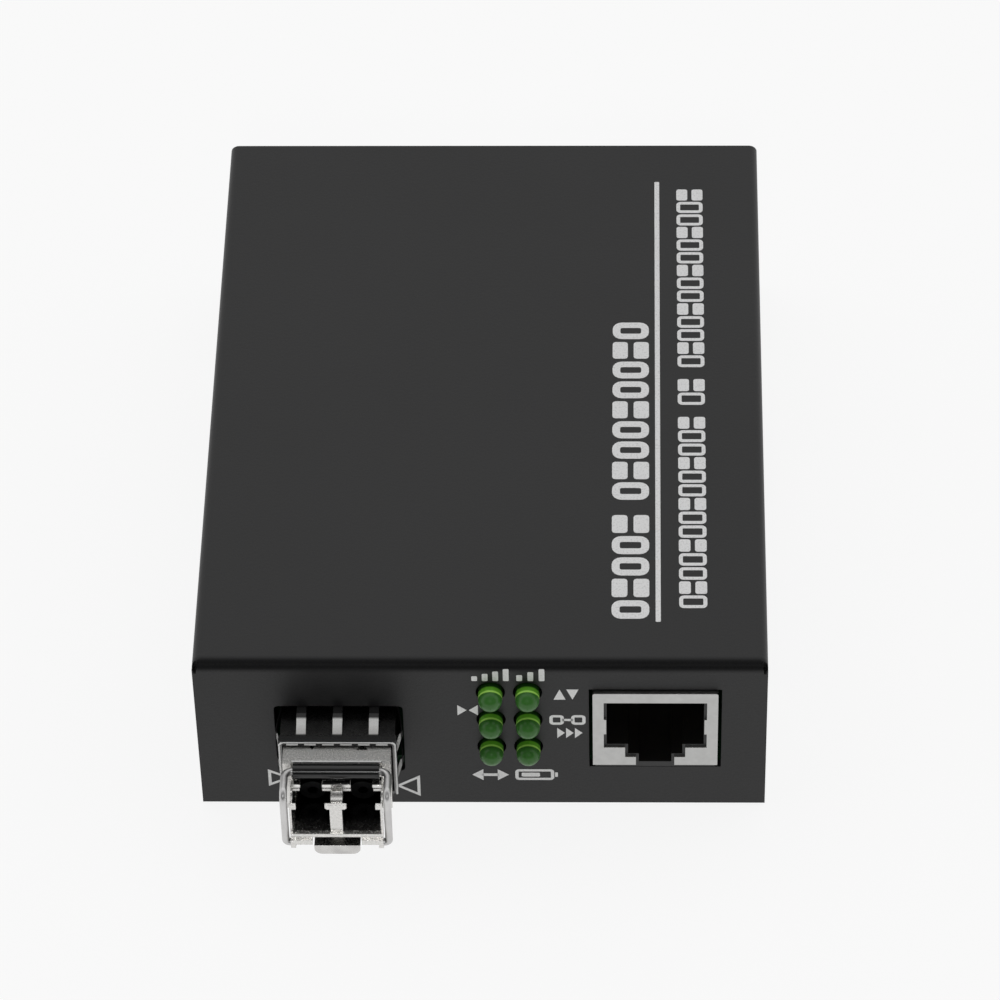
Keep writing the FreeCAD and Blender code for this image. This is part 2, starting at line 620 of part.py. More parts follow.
def base_pan():
    """Floor, low side flanges, front lip and rear panel, folded from one sheet."""
    body = new_body("base_pan")
    front = f"({PANEL_BACK} + pan_gap)"
    floor = sketch(body, "XY")
    rectangle(floor, f"-{PAN_HALF}", PAN_HALF, front, REAR)
    pad(body, floor, "gauge")
    rear = sketch(body, "XZ", at=REAR)
    rectangle(rear, f"-{PAN_HALF}", PAN_HALF, "0", f"{WALL_TOP} - pan_gap")
    pad(body, rear, "gauge", -1)
    sides = sketch(body, "XZ", at=REAR)
    for side in ("-", ""):
        rectangle(sides, f"{side}{PAN_HALF}", f"{side}({PAN_HALF} - gauge)", "0", "flange_height")
    pad(body, sides, f"{REAR} - {front}", -1)
    lip = sketch(body, "XZ", at=front)
    rectangle(lip, f"-({PAN_HALF} - 2 * gauge)", f"{PAN_HALF} - 2 * gauge", "0", "lip_height")
    pad(body, lip, "gauge")
    soften(body, "bend_radius - pan_gap", [
        straight_edge("y", x=PAN_HALF, z="0"),
        straight_edge("y", x=f"-{PAN_HALF}", z="0"),
        straight_edge("x", y=REAR, z="0")])

    posts = sketch(body, "XY")
    for x, y in BOARD_POSTS:
        circle(posts, x, y, "standoff_shank")
    pocket(body, posts, "gauge")
    for spot in ("-keyhole_spread", "keyhole_spread"):
        eye = sketch(body, "XY")
        circle(eye, "0", spot, "keyhole_radius")
        pocket(body, eye, "gauge")
        neck = sketch(body, "XY")
        slot(neck, "0", spot, f"{spot} + keyhole_reach", "keyhole_slot")
        pocket(body, neck, "gauge")
    taps = sketch(body, "YZ", at="-case_width / 2")
    for spot in SIDE_SCREWS:
        circle(taps, spot, "side_screw_height", "screw_shank + screw_play")
    pocket(body, taps, "case_width")
    window = sketch(body, "XZ", at=f"{REAR} - 2 * gauge")
    rectangle(window, f"{INLET_X} - inlet_width / 2 - inlet_air",
              f"{INLET_X} + inlet_width / 2 + inlet_air",
              "board_top - inlet_air", "board_top + inlet_height + inlet_air")
    pocket(body, window, "3 * gauge")
    return body


def turned(points):
    """Solid of revolution about Z from (radius, height) points."""
    wire = Part.makePolygon([Vector(r, 0, z) for r, z in points + points[:1]])
    return Part.Face(wire).revolve(Vector(), Vector(0, 0, 1), 360)


def cover_screws():
    """Four countersunk screws through the cover's sides into the pan's flanges."""
    head, shank, gauge = value("screw_head"), value("screw_shank"), value("gauge")
    length = value("side_screw_length")
    screw = turned([(0, 0), (head, 0), (shank, -gauge), (shank, -length), (0, -length)])
    solids = []
    for side in (-1, 1):
        for spot in SIDE_SCREWS:
            place = Placement(Vector(side * value("case_width / 2"), value(spot), 0),
                              Rotation(Vector(0, 1, 0), 90 * side))
            solids.append(screw.transformed(place.toMatrix()))
    return loose_group("cover_screws", solids, z="side_screw_height")


def board_standoffs():
    """Four hexagonal standoffs pressed into the pan's floor."""
    height = value("board_top - board_gauge - gauge")
    gauge, shank = value("gauge"), value("standoff_shank")
    bore = value("screw_shank + screw_play")
    corner = value("standoff_flats / sqrt(3)")
    ring = [Vector(corner * math.sin(math.radians(60 * i)), corner * math.cos(math.radians(60 * i)), 0)
            for i in range(7)]
    barrel = Part.Face(Part.makePolygon(ring)).extrude(Vector(0, 0, height))
    foot = Part.makeCylinder(shank, gauge, Vector(0, 0, -gauge))
    hole = Part.makeCylinder(bore, height + 2 * gauge, Vector(0, 0, -gauge * 1.5))
    post = barrel.fuse(foot).removeSplitter().cut(hole)
    solids = []
    for x, y in BOARD_POSTS:
        solids.append(post.translated(Vector(value(x), value(y), 0)))
    return loose_group("board_standoffs", solids, z="gauge")


def board_screws():
    """Four pan-head screws that hold the board to its standoffs."""
    head, shank, rise = value("screw_head"), value("screw_shank"), value("board_screw_rise")
    length = value("board_screw_length")
    crown = rise / 3
    screw = turned([(0, rise), (head - crown, rise), (head, rise - crown), (head, 0), (shank, 0),
                    (shank, -length), (0, -length)])
    solids = []
    for x, y in BOARD_POSTS:
        solids.append(screw.translated(Vector(value(x), value(y), 0)))
    return loose_group("board_screws", solids, z="board_top")


def circuit_board():
    """Board with screw holes and a notch under the cage's latch tab."""
    body = new_body("circuit_board", z="board_top - board_gauge")
    blank = sketch(body, "XY")
    rectangle(blank, f"-{BOARD_HALF}", BOARD_HALF, BOARD_FRONT, BOARD_REAR)
    pad(body, blank, "board_gauge")
    holes = sketch(body, "XY")
    for x, y in BOARD_POSTS:
        circle(holes, x, y, "screw_shank + screw_play")
    pocket(body, holes, "board_gauge")
    notch = sketch(body, "XY")
    half = "(tab_width / 2 + tab_clearance)"
    rectangle(notch, f"{SLOT_X} - {half}", f"{SLOT_X} + {half}",
              f"{BOARD_FRONT} - 1", f"{FRONT} - cage_lip + tab_length + tab_clearance")
    pocket(body, notch, "board_gauge")
    return body


# ---------------------------------------------------------------- network jack

JACK = {"x": JACK_X, "y": FRONT, "z": "board_top"}


def plug_mouth(drawing, inset, low):
    """Stepped outline of a plug with its tab below, set in by `inset`, down to `low`."""
    wide, step, tab = (f"({name} - {inset})" for name in ("plug_half", "step_half", "tab_half"))
    levels = (low, f"step_floor + {inset}", f"plug_floor + {inset}", f"plug_ceiling - {inset}")
    right = ((tab, levels[0]), (tab, levels[1]), (step, levels[1]), (step, levels[2]),
             (wide, levels[2]), (wide, levels[3]))
    left = [(f"-{x}", z) for x, z in reversed(right)]
    outline(drawing, list(right) + left)


def rj_shield():
    """Folded metal shield with a stepped mouth and two side spring tabs."""
    body = new_body("rj_shield", **JACK)
    can = sketch(body, "XZ", at="-jack_proud")
    rectangle(can, "-jack_width / 2", "jack_width / 2", "0", "jack_height")
    pad(body, can, "jack_depth")
    soften(body, "shield_gauge", [
        straight_edge("y", x=f"{side}jack_width / 2", z="jack_height") for side in ("-", "")])
    room = sketch(body, "XZ", at="-jack_proud + shield_gauge")
    rectangle(room, "-jack_width / 2 + shield_gauge", "jack_width / 2 - shield_gauge",
              "-1", "jack_height - shield_gauge")
    pocket(body, room, "jack_depth - 2 * shield_gauge")
    mouth = sketch(body, "XZ", at="-jack_proud")
    plug_mouth(mouth, "0", "-1")
    pocket(body, mouth, "shield_gauge")
    tabs = sketch(body, "XZ", at="-jack_proud")
    for side in ("-", ""):
        rectangle(tabs, f"{side}plug_half", f"{side}(plug_half - shield_gauge)",
                  "side_tab_low", "side_tab_high")
    pad(body, tabs, "shield_gauge")
    foot = sketch(body, "XZ", at="-jack_proud")
    rectangle(foot, "-jack_width / 2", "jack_width / 2", "0", "shield_rise")
    pocket(body, foot, "jack_proud")
    return body


def rj_housing():
    """Black insert that guides the plug, with a trough for the contacts."""
    body = new_body("rj_housing", **JACK)
    half = "(jack_width / 2 - shield_gauge)"
    face = "(-jack_proud + shield_gauge)"
    block = sketch(body, "XZ", at=face)
    rectangle(block, f"-{half}", half, "0", "jack_height - shield_gauge")
    pad(body, block, "jack_depth - 2 * shield_gauge")
    mouth = sketch(body, "XZ", at=face)
    plug_mouth(mouth, "ledge", "mouth_sill")
    pocket(body, mouth, "mouth_depth")
    trough = sketch(body, "XZ", at="trough_front")
    half = "(contact_count / 2 * contact_pitch + contact_width)"
    rectangle(trough, f"-{half}", half,
              "plug_ceiling - 2 * ledge", "plug_ceiling + trough_depth")
    pocket(body, trough, f"mouth_depth + {face} - trough_front")
    return body


def rj_contacts():
    """Row of spring contacts that slope down from the front of the trough to its back."""
    gauge, width = value("contact_gauge"), value("contact_width")
    start, end = value("trough_front"), value("mouth_depth - jack_proud + shield_gauge")
    high = value("plug_ceiling + trough_depth / 3")
    low = high - value("contact_drop")
    path = [(start, high), (start + value("contact_lead"), high),
            (end - value("contact_tail"), low), (end, low)]
    points = path + [(y, z - gauge) for y, z in reversed(path)]
    solids = []
    count = round(value("contact_count"))
    for number in range(count):
        middle = (number - (count - 1) / 2) * value("contact_pitch")
        solids.append(side_profile(points, middle - width / 2, width))
    return loose_group("rj_contacts", solids, **JACK)


# ---------------------------------------------------------------- optical slot

SLOT = {"x": SLOT_X, "y": FRONT, "z": "board_top"}


def sfp_cage():
    """Folded cage with a latch slot in its floor and an opening for the host connector."""
    body = new_body("sfp_cage", **SLOT)
    tube = sketch(body, "XZ", at="-cage_lip")
    rectangle(tube, f"-{CAGE_HALF}", CAGE_HALF, "0", "cage_height")
    pad(body, tube, "cage_length")
    room = sketch(body, "XZ", at="-cage_lip")
    rectangle(room, f"-{CAGE_HALF} + cage_gauge", f"{CAGE_HALF} - cage_gauge",
              "cage_gauge", "cage_height - cage_gauge")
    pocket(body, room, "cage_length - cage_gauge")
    rear_door = sketch(body, "XY")
    rectangle(rear_door, f"-{CAGE_HALF} + cage_gauge", f"{CAGE_HALF} - cage_gauge",
              "-cage_lip + cage_floor", "-cage_lip + cage_length - cage_gauge")
    pocket(body, rear_door, "cage_gauge")
    tab_slot = sketch(body, "XY")
    rectangle(tab_slot, "-tab_width / 2 - tab_slit", "tab_width / 2 + tab_slit",
              "-cage_lip - 1", "-cage_lip + tab_length")
    pocket(body, tab_slot, "cage_gauge")
    return body


def cage_latch_tab():
    """Springy tab of the cage's floor, with the hole that holds the latch boss."""
    body = new_body("cage_latch_tab", **SLOT)
    side = sketch(body, "YZ", at="-tab_width / 2")
    front, root = "(-cage_lip + tab_setback)", "(-cage_lip + tab_length)"
    outline(side, ((front, "-tab_dip"), (f"{front} + tab_ramp", "0"), (root, "0"),
                   (root, "cage_gauge"), (f"{front} + tab_ramp - tab_slit / 2", "cage_gauge"),
                   (front, "cage_gauge - tab_dip")))
    pad(body, side, "tab_width")
    hole = sketch(body, "XY", at="-tab_dip")
    rectangle(hole, "-boss_width / 2 - lever_play", "boss_width / 2 + lever_play",
              "boss_front - lever_play", "boss_front + boss_length + lever_play")
    pocket(body, hole, "2 * tab_dip")
    return body


def finger_outline(crest, reach="finger_reach"):
    """Side view of one spring finger: distance from the front edge, height over the cage."""
    base, thick = "collar_gauge", "finger_gauge"
    outer = (("collar_band", base), ("finger_rise", f"{crest} - finger_bow"),
             ("finger_crest", crest), ("finger_fall", f"{crest} - finger_bow"), (reach, thick))
    inner = [(along, f"{height} - {thick}") for along, height in reversed(outer)]
    return list(outer) + inner


def cage_spring_collar():
    """Spring collar: a band round the cage's mouth, curved fingers and folded clips."""
    body = new_body("cage_spring_collar", x=SLOT_X, y=f"{FRONT} - cage_lip", z="board_top")
    band = sketch(body, "XZ")
    rectangle(band, f"-{CAGE_HALF} - collar_gauge", f"{CAGE_HALF} + collar_gauge",
              "-collar_gauge", "cage_height + collar_gauge")
    rectangle(band, f"-{CAGE_HALF}", CAGE_HALF, "0", "cage_height")
    pad(body, band, "collar_band")
    gap = sketch(body, "XZ")
    rectangle(gap, "-tab_width / 2 - tab_setback", "tab_width / 2 + tab_setback", "-1", "0")
    pocket(body, gap, "collar_band")
    top_crest = "(window_top - cage_height - finger_air)"
    for number in (-1, 0, 1):
        finger = sketch(body, "YZ", at=f"{number} * finger_pitch - finger_width / 2")
        outline(finger, [(y, f"cage_height + {h}") for y, h in finger_outline(top_crest)])
        pad(body, finger, "finger_width")
    low_crest = "(window_low - finger_air)"
    low_reach = "(cage_lip + gauge + board_setback - pan_gap)"
    for side in (-1, 1):
        finger = sketch(body, "YZ", at=f"{side} * (tab_width / 2 + low_finger_gap) - finger_width / 2")
        outline(finger, [(y, f"-({h})") for y, h in finger_outline(low_crest, low_reach)])
        pad(body, finger, "finger_width")
    side_crest = "(window_air - finger_air)"
    for side in (-1, 1):
        for row in (1, 3):
            finger = sketch(body, "XY", at=f"cage_height * {row} / 4 - finger_width / 2")
            outline(finger, [(f"{side} * ({CAGE_HALF} + {h})", y)
                             for y, h in finger_outline(side_crest)])
            pad(body, finger, "finger_width")
    clips = sketch(body, "XZ", at="-finger_gauge")
    rectangle(clips, f"-{CAGE_HALF} + cage_gauge", f"{CAGE_HALF} - cage_gauge",
              "cage_height - cage_gauge - finger_gauge", "cage_height + collar_gauge")
    pad(body, clips, "finger_gauge")
    clip_row = sketch(body, "XZ")
    count = round(value("clip_count"))
    for number in range(count):
        middle = f"({number} - {(count - 1) / 2}) * clip_pitch"
        rectangle(clip_row, f"{middle} - clip_width / 2", f"{middle} + clip_width / 2",
                  "cage_height - cage_gauge - finger_gauge", "cage_height - cage_gauge")
    pad(body, clip_row, "clip_length")
    return body


def sfp_host_connector():
    """Connector on the board that takes the module's card edge."""
    body = new_body("sfp_host_connector", **SLOT)
    block = sketch(body, "XZ", at="host_start")
    half = f"({CAGE_HALF} - cage_gauge - host_air)"
    rectangle(block, f"-{half}", half, "0", "host_height")
    pad(body, block, "host_length")
    slit = sketch(body, "XZ", at="host_start")
    rectangle(slit, "-card_width / 2 - card_play", "card_width / 2 + card_play",
              "card_low - card_play", "card_low + card_gauge + card_play")
    pocket(body, slit, "card_length + 2 * card_play")
    soften(body, "host_lead", [straight_edge("x", y="host_start", z="host_height")], "Chamfer")
    return body


# ---------------------------------------------------------------- optical module

NOSE_STEPS = (
    # x of the gap's inner edge and of its outer edge, and where the step ends
    ("shoulder_width / 2", f"{NOSE_HALF} - side_bar", "nose_front - shoulder_depth"),
    ("neck_width / 2", f"{NOSE_HALF} - side_neck", "crossbar_front"),
    ("crossbar_width / 2", f"{NOSE_HALF} - side_crossbar", "module_front"),
)


def cut_ports(body):
    """Two square ports, the stepped latch gaps above them and the barrels' bores."""
    ports = sketch(body, "XZ", at="-nose_front")
    gaps = sketch(body, "XY", at="port_floor + port_height")
    bores = sketch(body, "XZ", at="-nose_front")
    for side in ("-", ""):
        rectangle(ports, f"{side}(optic_pitch / 2 - port_width / 2)",
                  f"{side}(optic_pitch / 2 + port_width / 2)",
                  "port_floor", "port_floor + port_height")
        circle(bores, f"{side}optic_pitch / 2", "optic_height", "barrel_radius + barrel_play")
        inner, outer = [], []
        begin = "nose_front + 1"
        for near, far, end in NOSE_STEPS:
            inner += [(f"{side}({near})", f"-({begin})"), (f"{side}({near})", f"-({end})")]
            outer += [(f"{side}({far})", f"-({begin})"), (f"{side}({far})", f"-({end})")]
            begin = end
        outline(gaps, inner + outer[::-1])
    pocket(body, ports, "port_depth")
    pocket(body, gaps, "shoulder_top")
    pocket(body, bores, "nose_front + cavity_start + 1")


def cut_lever_way(body):
    """Groove for the latch lever under the nose, and the bores of its trunnions."""
    groove = sketch(body, "YZ", at="-lever_width / 2 - lever_play")
    start, step = "-lip_front - 1", "-lever_pivot + 1"
    tail = "(lever_tail + 2 * lever_play)"
    roof = "(lever_low + lever_gauge + lever_air)"
    outline(groove, ((start, "-3"), (start, roof), (step, roof), (tail, f"{roof} + lever_lift"),
                     (tail, "-3")))
    pocket(body, groove, "lever_width + 2 * lever_play")
    bores = sketch(body, "YZ", at="-lever_width / 2 - trunnion_length - lever_play")
    circle(bores, "-lever_pivot", "lever_pivot_height", "trunnion_radius + pin_play")
    pocket(body, bores, "lever_width + 2 * (trunnion_length + lever_play)")


def module_housing():
    """Die-cast housing: duplex nose, top and sides, hollow and open below behind the nose."""
    body = new_body("module_housing", **SLOT)
    half = MODULE_HALF
    rear = "(host_start - module_gap)"
    shell = sketch(body, "XZ", at="-module_front - notch_depth")
    rectangle(shell, f"-{half}", half, "module_low", "module_top")
    pad(body, shell, f"{rear} + module_front + notch_depth")
    notch = sketch(body, "XY", at="module_top")
    rectangle(notch, "-sleeve_notch / 2", "sleeve_notch / 2", "-module_front - 1", "-module_front")
    pocket(body, notch, "module_top - module_low", -1)
    room = sketch(body, "XY", at="module_low")
    rectangle(room, f"-{half} + module_wall", f"{half} - module_wall", "cavity_start", f"{rear} + 1")
    pocket(body, room, "module_top - module_low - module_wall")
    nose = sketch(body, "YZ", at=f"-{NOSE_HALF}")
    outline(nose, (("-lip_front", "nose_low"), ("-lip_front", "port_floor"),
                   ("-nose_front", "port_floor"), ("-nose_front", "shoulder_top"),
                   ("-nose_front + shoulder_depth", "shoulder_top"),
                   ("-nose_front + shoulder_depth", "neck_end", "neck_bow"),
                   ("-crossbar_front", "neck_end"), ("-crossbar_front", "crossbar_top"),
                   ("-crossbar_front + crossbar_depth", "crossbar_top"),
                   ("-crossbar_front + crossbar_depth", "neck_end"),
                   ("-module_front + 1", "neck_end"), ("-module_front + 1", "nose_low")))
    pad(body, nose, f"2 * {NOSE_HALF}")
    soften(body, "lip_corner", [
        straight_edge("y", x=f"{side}{NOSE_HALF}", z="nose_low") for side in ("-", "")])
    cut_ports(body)
    nicks = sketch(body, "XZ", at="-nose_front")
    edge, low = "(shoulder_width / 2)", "(port_floor + port_height)"
    for side in ("-", ""):
        outline(nicks, ((f"{side}{edge}", low), (f"{side}{edge}", f"{low} + shoulder_nick"),
                        (f"{side}({edge} - shoulder_nick)", low)))
    pocket(body, nicks, "shoulder_depth")
    ears = sketch(body, "YZ", at=f"-{NOSE_HALF}")
    rectangle(ears, "-bail_front - ear_radius", "-bail_front + ear_radius",
              "bail_pin_height", "port_floor / 2")
    pad(body, ears, f"2 * {NOSE_HALF}")
    rounds = sketch(body, "YZ", at=f"-{NOSE_HALF}")
    circle(rounds, "-bail_front", "bail_pin_height", "ear_radius")
    pad(body, rounds, f"2 * {NOSE_HALF}")
    between = sketch(body, "YZ", at=f"-{NOSE_HALF} + ear_width")
    rectangle(between, "-bail_front - 2 * ear_radius", "-bail_front + 2 * ear_radius",
              "bail_pin_height - 2 * ear_radius", "nose_low")
    pocket(body, between, f"2 * ({NOSE_HALF} - ear_width)")
    pins = sketch(body, "YZ", at=f"-{NOSE_HALF} - 1")
    circle(pins, "-bail_front", "bail_pin_height", "bail_radius + pin_play")
    pocket(body, pins, f"2 * {NOSE_HALF} + 2")
    cut_lever_way(body)
    marks = sketch(body, "XY", at="module_top")
    for side, way in (("-", "-"), ("", "+")):
        x, y = f"{side}mark_spread", "(-mark_front)"
        outline(marks, ((f"{x} - mark_size / 2", f"{y} {'+' if way == '-' else '-'} mark_size / 2"),
                        (f"{x} + mark_size / 2", f"{y} {'+' if way == '-' else '-'} mark_size / 2"),
                        (x, f"{y} {way} mark_size / 2")))
    pocket(body, marks, "mark_depth", -1)
    return body


def module_cover():
    """Sheet that closes the module's underside behind the latch."""
    body = new_body("module_cover", **SLOT)
    half = f"({MODULE_HALF} - module_wall - pin_play)"
    sheet = sketch(body, "XY", at="module_low")
    rectangle(sheet, f"-{half}", half, "cavity_start + pin_play", "host_start - module_gap")
    pad(body, sheet, "pan_sheet")
    return body


def module_board():
    """Board inside the module, whose rear end is the card edge."""
    body = new_body("module_board", **SLOT)
    board = sketch(body, "XY", at="card_low")
    rectangle(board, "-card_width / 2", "card_width / 2",
              "cavity_start + can_length + 1", "host_start + card_length")
    pad(body, board, "card_gauge")
    return body


def optical_barrel(label, side):
    """Stepped barrel with a ferrule bore in its front end."""
    body = new_body(label, x=f"{SLOT_X} {side} optic_pitch / 2", y=FRONT,
                    z="board_top + optic_height")
    neck = sketch(body, "XZ", at="-barrel_front")
    circle(neck, "0", "0", "barrel_radius")
    pad(body, neck, "barrel_front + cavity_start + 2 * can_play")
    can = sketch(body, "XZ", at="cavity_start + can_play")
    circle(can, "0", "0", "can_radius")
    pad(body, can, "can_length")
    bore = sketch(body, "XZ", at="-barrel_front")
    circle(bore, "0", "0", "ferrule_radius")
    pocket(body, bore, "ferrule_depth")
    return body


def bent_rod(corners, radii, thick):
    """Round rod along corners, each turn between the ends a ring segment of its own radius."""
    pieces = []
    last = corners[0]
    for before, corner, after, radius in zip(corners, corners[1:], corners[2:], radii):
        arrive = (corner - before).normalize()
        leave = (after - corner).normalize()
        turn = arrive.getAngle(leave)
        reach = radius * math.tan(turn / 2)
        start = corner - arrive * reach
        axis = arrive.cross(leave).normalize()
        disc = Part.Face(Part.Wire(Part.makeCircle(thick, start, arrive)))
        centre = start + axis.cross(arrive) * radius
        pieces.append(Part.makeCylinder(thick, (start - last).Length, last, arrive))
        pieces.append(disc.revolve(centre, axis, math.degrees(turn)))
        last = corner + leave * reach
    pieces.append(Part.makeCylinder(thick, (corners[-1] - last).Length, last, leave))
    return pieces[0].multiFuse(pieces[1:])


def bail_wire():
    """One bent wire: hinge pin, upright, arm, cross bar, and the same mirrored."""
    half, front, low = value(BAIL_HALF), -value("bail_front"), value("bail_pin_height")
    bar, high = -value("bail_bar_front"), value("bail_bar_height")
    inner = half - value("bail_pin_length")
    right = [Vector(inner, front, low), Vector(half, front, low), Vector(half, front, high),
             Vector(half, bar, high)]
    left = [Vector(-point.x, point.y, point.z) for point in reversed(right)]
    bend, foot = value("bail_bend"), value("bail_pin_bend")
    rod = bent_rod(right + left, (foot, bend, bend, bend, bend, foot), value("bail_radius"))
    return loose_group("bail_wire", rod.Solids, **SLOT)


def bail_sleeve():
    """Plastic sleeve on the bail's cross bar."""
    body = new_body("bail_sleeve", **SLOT)
    tube = sketch(body, "YZ", at="-sleeve_length / 2")
    circle(tube, "-bail_bar_front", "bail_bar_height", "sleeve_radius")
    circle(tube, "-bail_bar_front", "bail_bar_height", "bail_radius")
    pad(body, tube, "sleeve_length")
    return body


def latch_lever():
    """Rocking lever with a front tab, two trunnions and a wedge-shaped latch boss."""
    body = new_body("latch_lever", **SLOT)
    arm = sketch(body, "YZ", at="-lever_width / 2")
    top = "(lever_low + lever_gauge)"
    knee = "(handle_front - lever_crank)"
    outline(arm, (("-handle_front", "handle_low"), ("-handle_front", "handle_top"),
                  (f"-{knee} - crank_length", "handle_top"), (f"-{knee}", top),
                  ("lever_tail", top), ("lever_tail", "lever_low"),
                  (f"-{knee} + lever_gauge", "lever_low"),
                  (f"-{knee} - crank_length + lever_gauge", "handle_top - handle_gauge"),
                  ("-handle_front + handle_gauge", "handle_top - handle_gauge"),
                  ("-handle_front + handle_gauge", "handle_low")))
    pad(body, arm, "lever_width")
    soften(body, "handle_round", [
        straight_edge("y", x=f"{side}lever_width / 2", z="handle_low") for side in ("-", "")])
    boss = sketch(body, "YZ", at="-boss_width / 2")
    outline(boss, (("boss_front", "lever_low + lever_gauge / 2"),
                   ("boss_front", "lever_low - boss_drop"),
                   ("boss_front + boss_flat", "lever_low - boss_drop"),
                   ("boss_front + boss_length", "lever_low"),
                   ("boss_front + boss_length", "lever_low + lever_gauge / 2")))
    pad(body, boss, "boss_width")
    pins = sketch(body, "YZ", at="-lever_width / 2 - trunnion_length")
    circle(pins, "-lever_pivot", "lever_pivot_height", "trunnion_radius")
    pad(body, pins, "lever_width + 2 * trunnion_length")
    return body


# ---------------------------------------------------------------- lamps

HOLDER_REAR = "(lamp_base + holder_depth)"


def status_lamp(number, column, row):
    """One clear lamp body with a flange and a domed tip."""
    x, z = lamp_place(column, row)
    body = new_body(f"status_lamp_{number}", x=x, y=FRONT, z=z)
    half = sketch(body, "YZ")
    rim = "(lamp_base - lamp_flange_gauge)"
    outline(half, (("lamp_base", "0"), ("lamp_base", "lamp_flange"), (rim, "lamp_flange"),
                   (rim, "lamp_radius"), ("lamp_radius - lamp_proud", "lamp_radius", "lamp_radius"),
                   ("-lamp_proud", "0")))
    revolve(body, half, axis="H_Axis")
    return body


def lamp_holder():
    """Plastic block behind the lamps, bored for their leads."""
    body = new_body("lamp_holder", y=FRONT)
    block = sketch(body, "XZ", at="lamp_base")
    rectangle(block, "lamp_x - holder_margin", "lamp_x + lamp_pitch_x + holder_margin",
              "board_top", "case_height - lamp_drop + holder_margin")
    pad(body, block, "holder_depth")
    bores = sketch(body, "XZ", at="lamp_base")
    half = "(lead_width / 2 + lead_play)"
    for column, row in LAMPS:
        x, z = lamp_place(column, row)
        for side in "+-":
            lead = f"{x} {side} lead_spread"
            rectangle(bores, f"{lead} - {half}", f"{lead} + {half}", f"{z} - {half}", f"{z} + {half}")
    pocket(body, bores, "holder_depth")
    return body


def lamp_leads():
    """Two bent leads a lamp, from its base through the holder and down to the board."""
    width, step = value("lead_width"), value("lead_step")
    start = value(f"{FRONT} + lamp_base")
    floor = value("board_top")
    solids = []
    for column, row in LAMPS:
        x, z = (value(part) for part in lamp_place(column, row))
        back = value(f"{FRONT} + {HOLDER_REAR}") + step * (row + 0.5)
        points = [(start, z + width / 2), (back + width, z + width / 2), (back + width, floor),
                  (back, floor), (back, z - width / 2), (start, z - width / 2)]
        for side in (-1, 1):
            middle = x + side * value("lead_spread")
            solids.append(side_profile(points, middle - width / 2, width))
    return loose_group("lamp_leads", solids)


# ---------------------------------------------------------------- power inlet

INLET = {"x": INLET_X, "y": f"{REAR} + inlet_proud", "z": "board_top"}


def inlet_body():
    """Plastic inlet with a square flange and a round bore."""
    body = new_body("inlet_body", **INLET)
    flange = sketch(body, "XZ")
    rectangle(flange, "-inlet_width / 2", "inlet_width / 2", "0", "inlet_height")
    pad(body, flange, "inlet_flange", -1)
    block = sketch(body, "XZ")
    rectangle(block, "-inlet_width / 2 + inlet_step / 2", "inlet_width / 2 - inlet_step / 2",
              "0", "inlet_height - inlet_step")
    pad(body, block, "inlet_depth", -1)
    bore = sketch(body, "XZ")
    circle(bore, "0", "inlet_axis", "inlet_bore")
    pocket(body, bore, "inlet_bore_depth", -1)
    spring_way = sketch(body, "XZ")
    half = "(spring_width / 2 + spring_play)"
    rectangle(spring_way, f"-{half}", half, "inlet_axis - inlet_bore - spring_sink", "inlet_axis")
    pocket(body, spring_way, "inlet_bore_depth", -1)
    core = sketch(body, "XZ", at="-inlet_bore_depth - inlet_root_length")
    circle(core, "0", "inlet_axis", "inlet_root")
    pocket(body, core, "inlet_root_length")
    return body


def inlet_pin():
    """Centre pin of the inlet."""
    body = new_body("inlet_pin", **INLET)
    rod = sketch(body, "XZ", at="-inlet_pin_setback")
    circle(rod, "0", "inlet_axis", "inlet_pin")
    pad(body, rod, "inlet_bore_depth - inlet_pin_setback", -1)
    root = sketch(body, "XZ", at="-inlet_bore_depth")
    circle(root, "0", "inlet_axis", "inlet_root")
    pad(body, root, "inlet_root_length", -1)
    tip = [round_edge(x="0", y="-inlet_pin_setback", z="inlet_axis")]
    soften(body, "inlet_tip", tip, "Chamfer")
    return body


def inlet_spring():
    """Side contact that bows into the bore from below."""
    depth, front = value("inlet_bore_depth"), value("spring_front")
    floor = value("inlet_axis - inlet_bore - spring_sink + spring_play / 2")
    top, crest = floor + value("spring_gauge"), value("inlet_axis - inlet_bore + spring_bow")
    points = [(-depth, floor), (-front, floor), (-front, top), (-depth * 0.35, top),
              (-depth * 0.6, crest), (-depth * 0.8, top), (-depth, top)]
    width = value("spring_width")
    return loose_group("inlet_spring", [side_profile(points, -width / 2, width)], **INLET)


# ---------------------------------------------------------------- parts on the board

JACK_REAR = f"({FRONT} - jack_proud + jack_depth)"
INLET_FRONT = f"({REAR} + inlet_proud - inlet_depth)"
CHIPS = (
    # label, x, y, width, depth, height, cut corners
    ("switch_chip", "lamp_x + lamp_pitch_x", f"{JACK_REAR} + magnetics_gap + magnetics_depth"
     " + 2 * part_gap + chip_side / 2", "chip_side", "chip_side", "chip_height", "gauge / 3"),
    ("line_transformer", f"{JACK_X} - magnetics_gap", f"{JACK_REAR} + magnetics_gap"
     " + magnetics_depth / 2", "magnetics_width", "magnetics_depth", "magnetics_height",
     "gauge / 2"),
    ("voltage_regulator", f"{INLET_X} + inlet_width + 2 * part_gap",
     f"{INLET_FRONT} - part_gap - regulator_side", "regulator_side", "regulator_side",
     "regulator_height", "gauge / 3"),
    ("timing_crystal", f"{JACK_X} - part_gap", f"{BOARD_REAR} - post_rear_edge - 6 * part_gap",
     "crystal_width", "crystal_depth", "crystal_height", "crystal_depth / 4"),
    ("power_inductor", f"{INLET_X} + part_gap", f"{INLET_FRONT} - part_gap - inductor_side",
     "inductor_side", "inductor_side", "inductor_height", "gauge"),
)


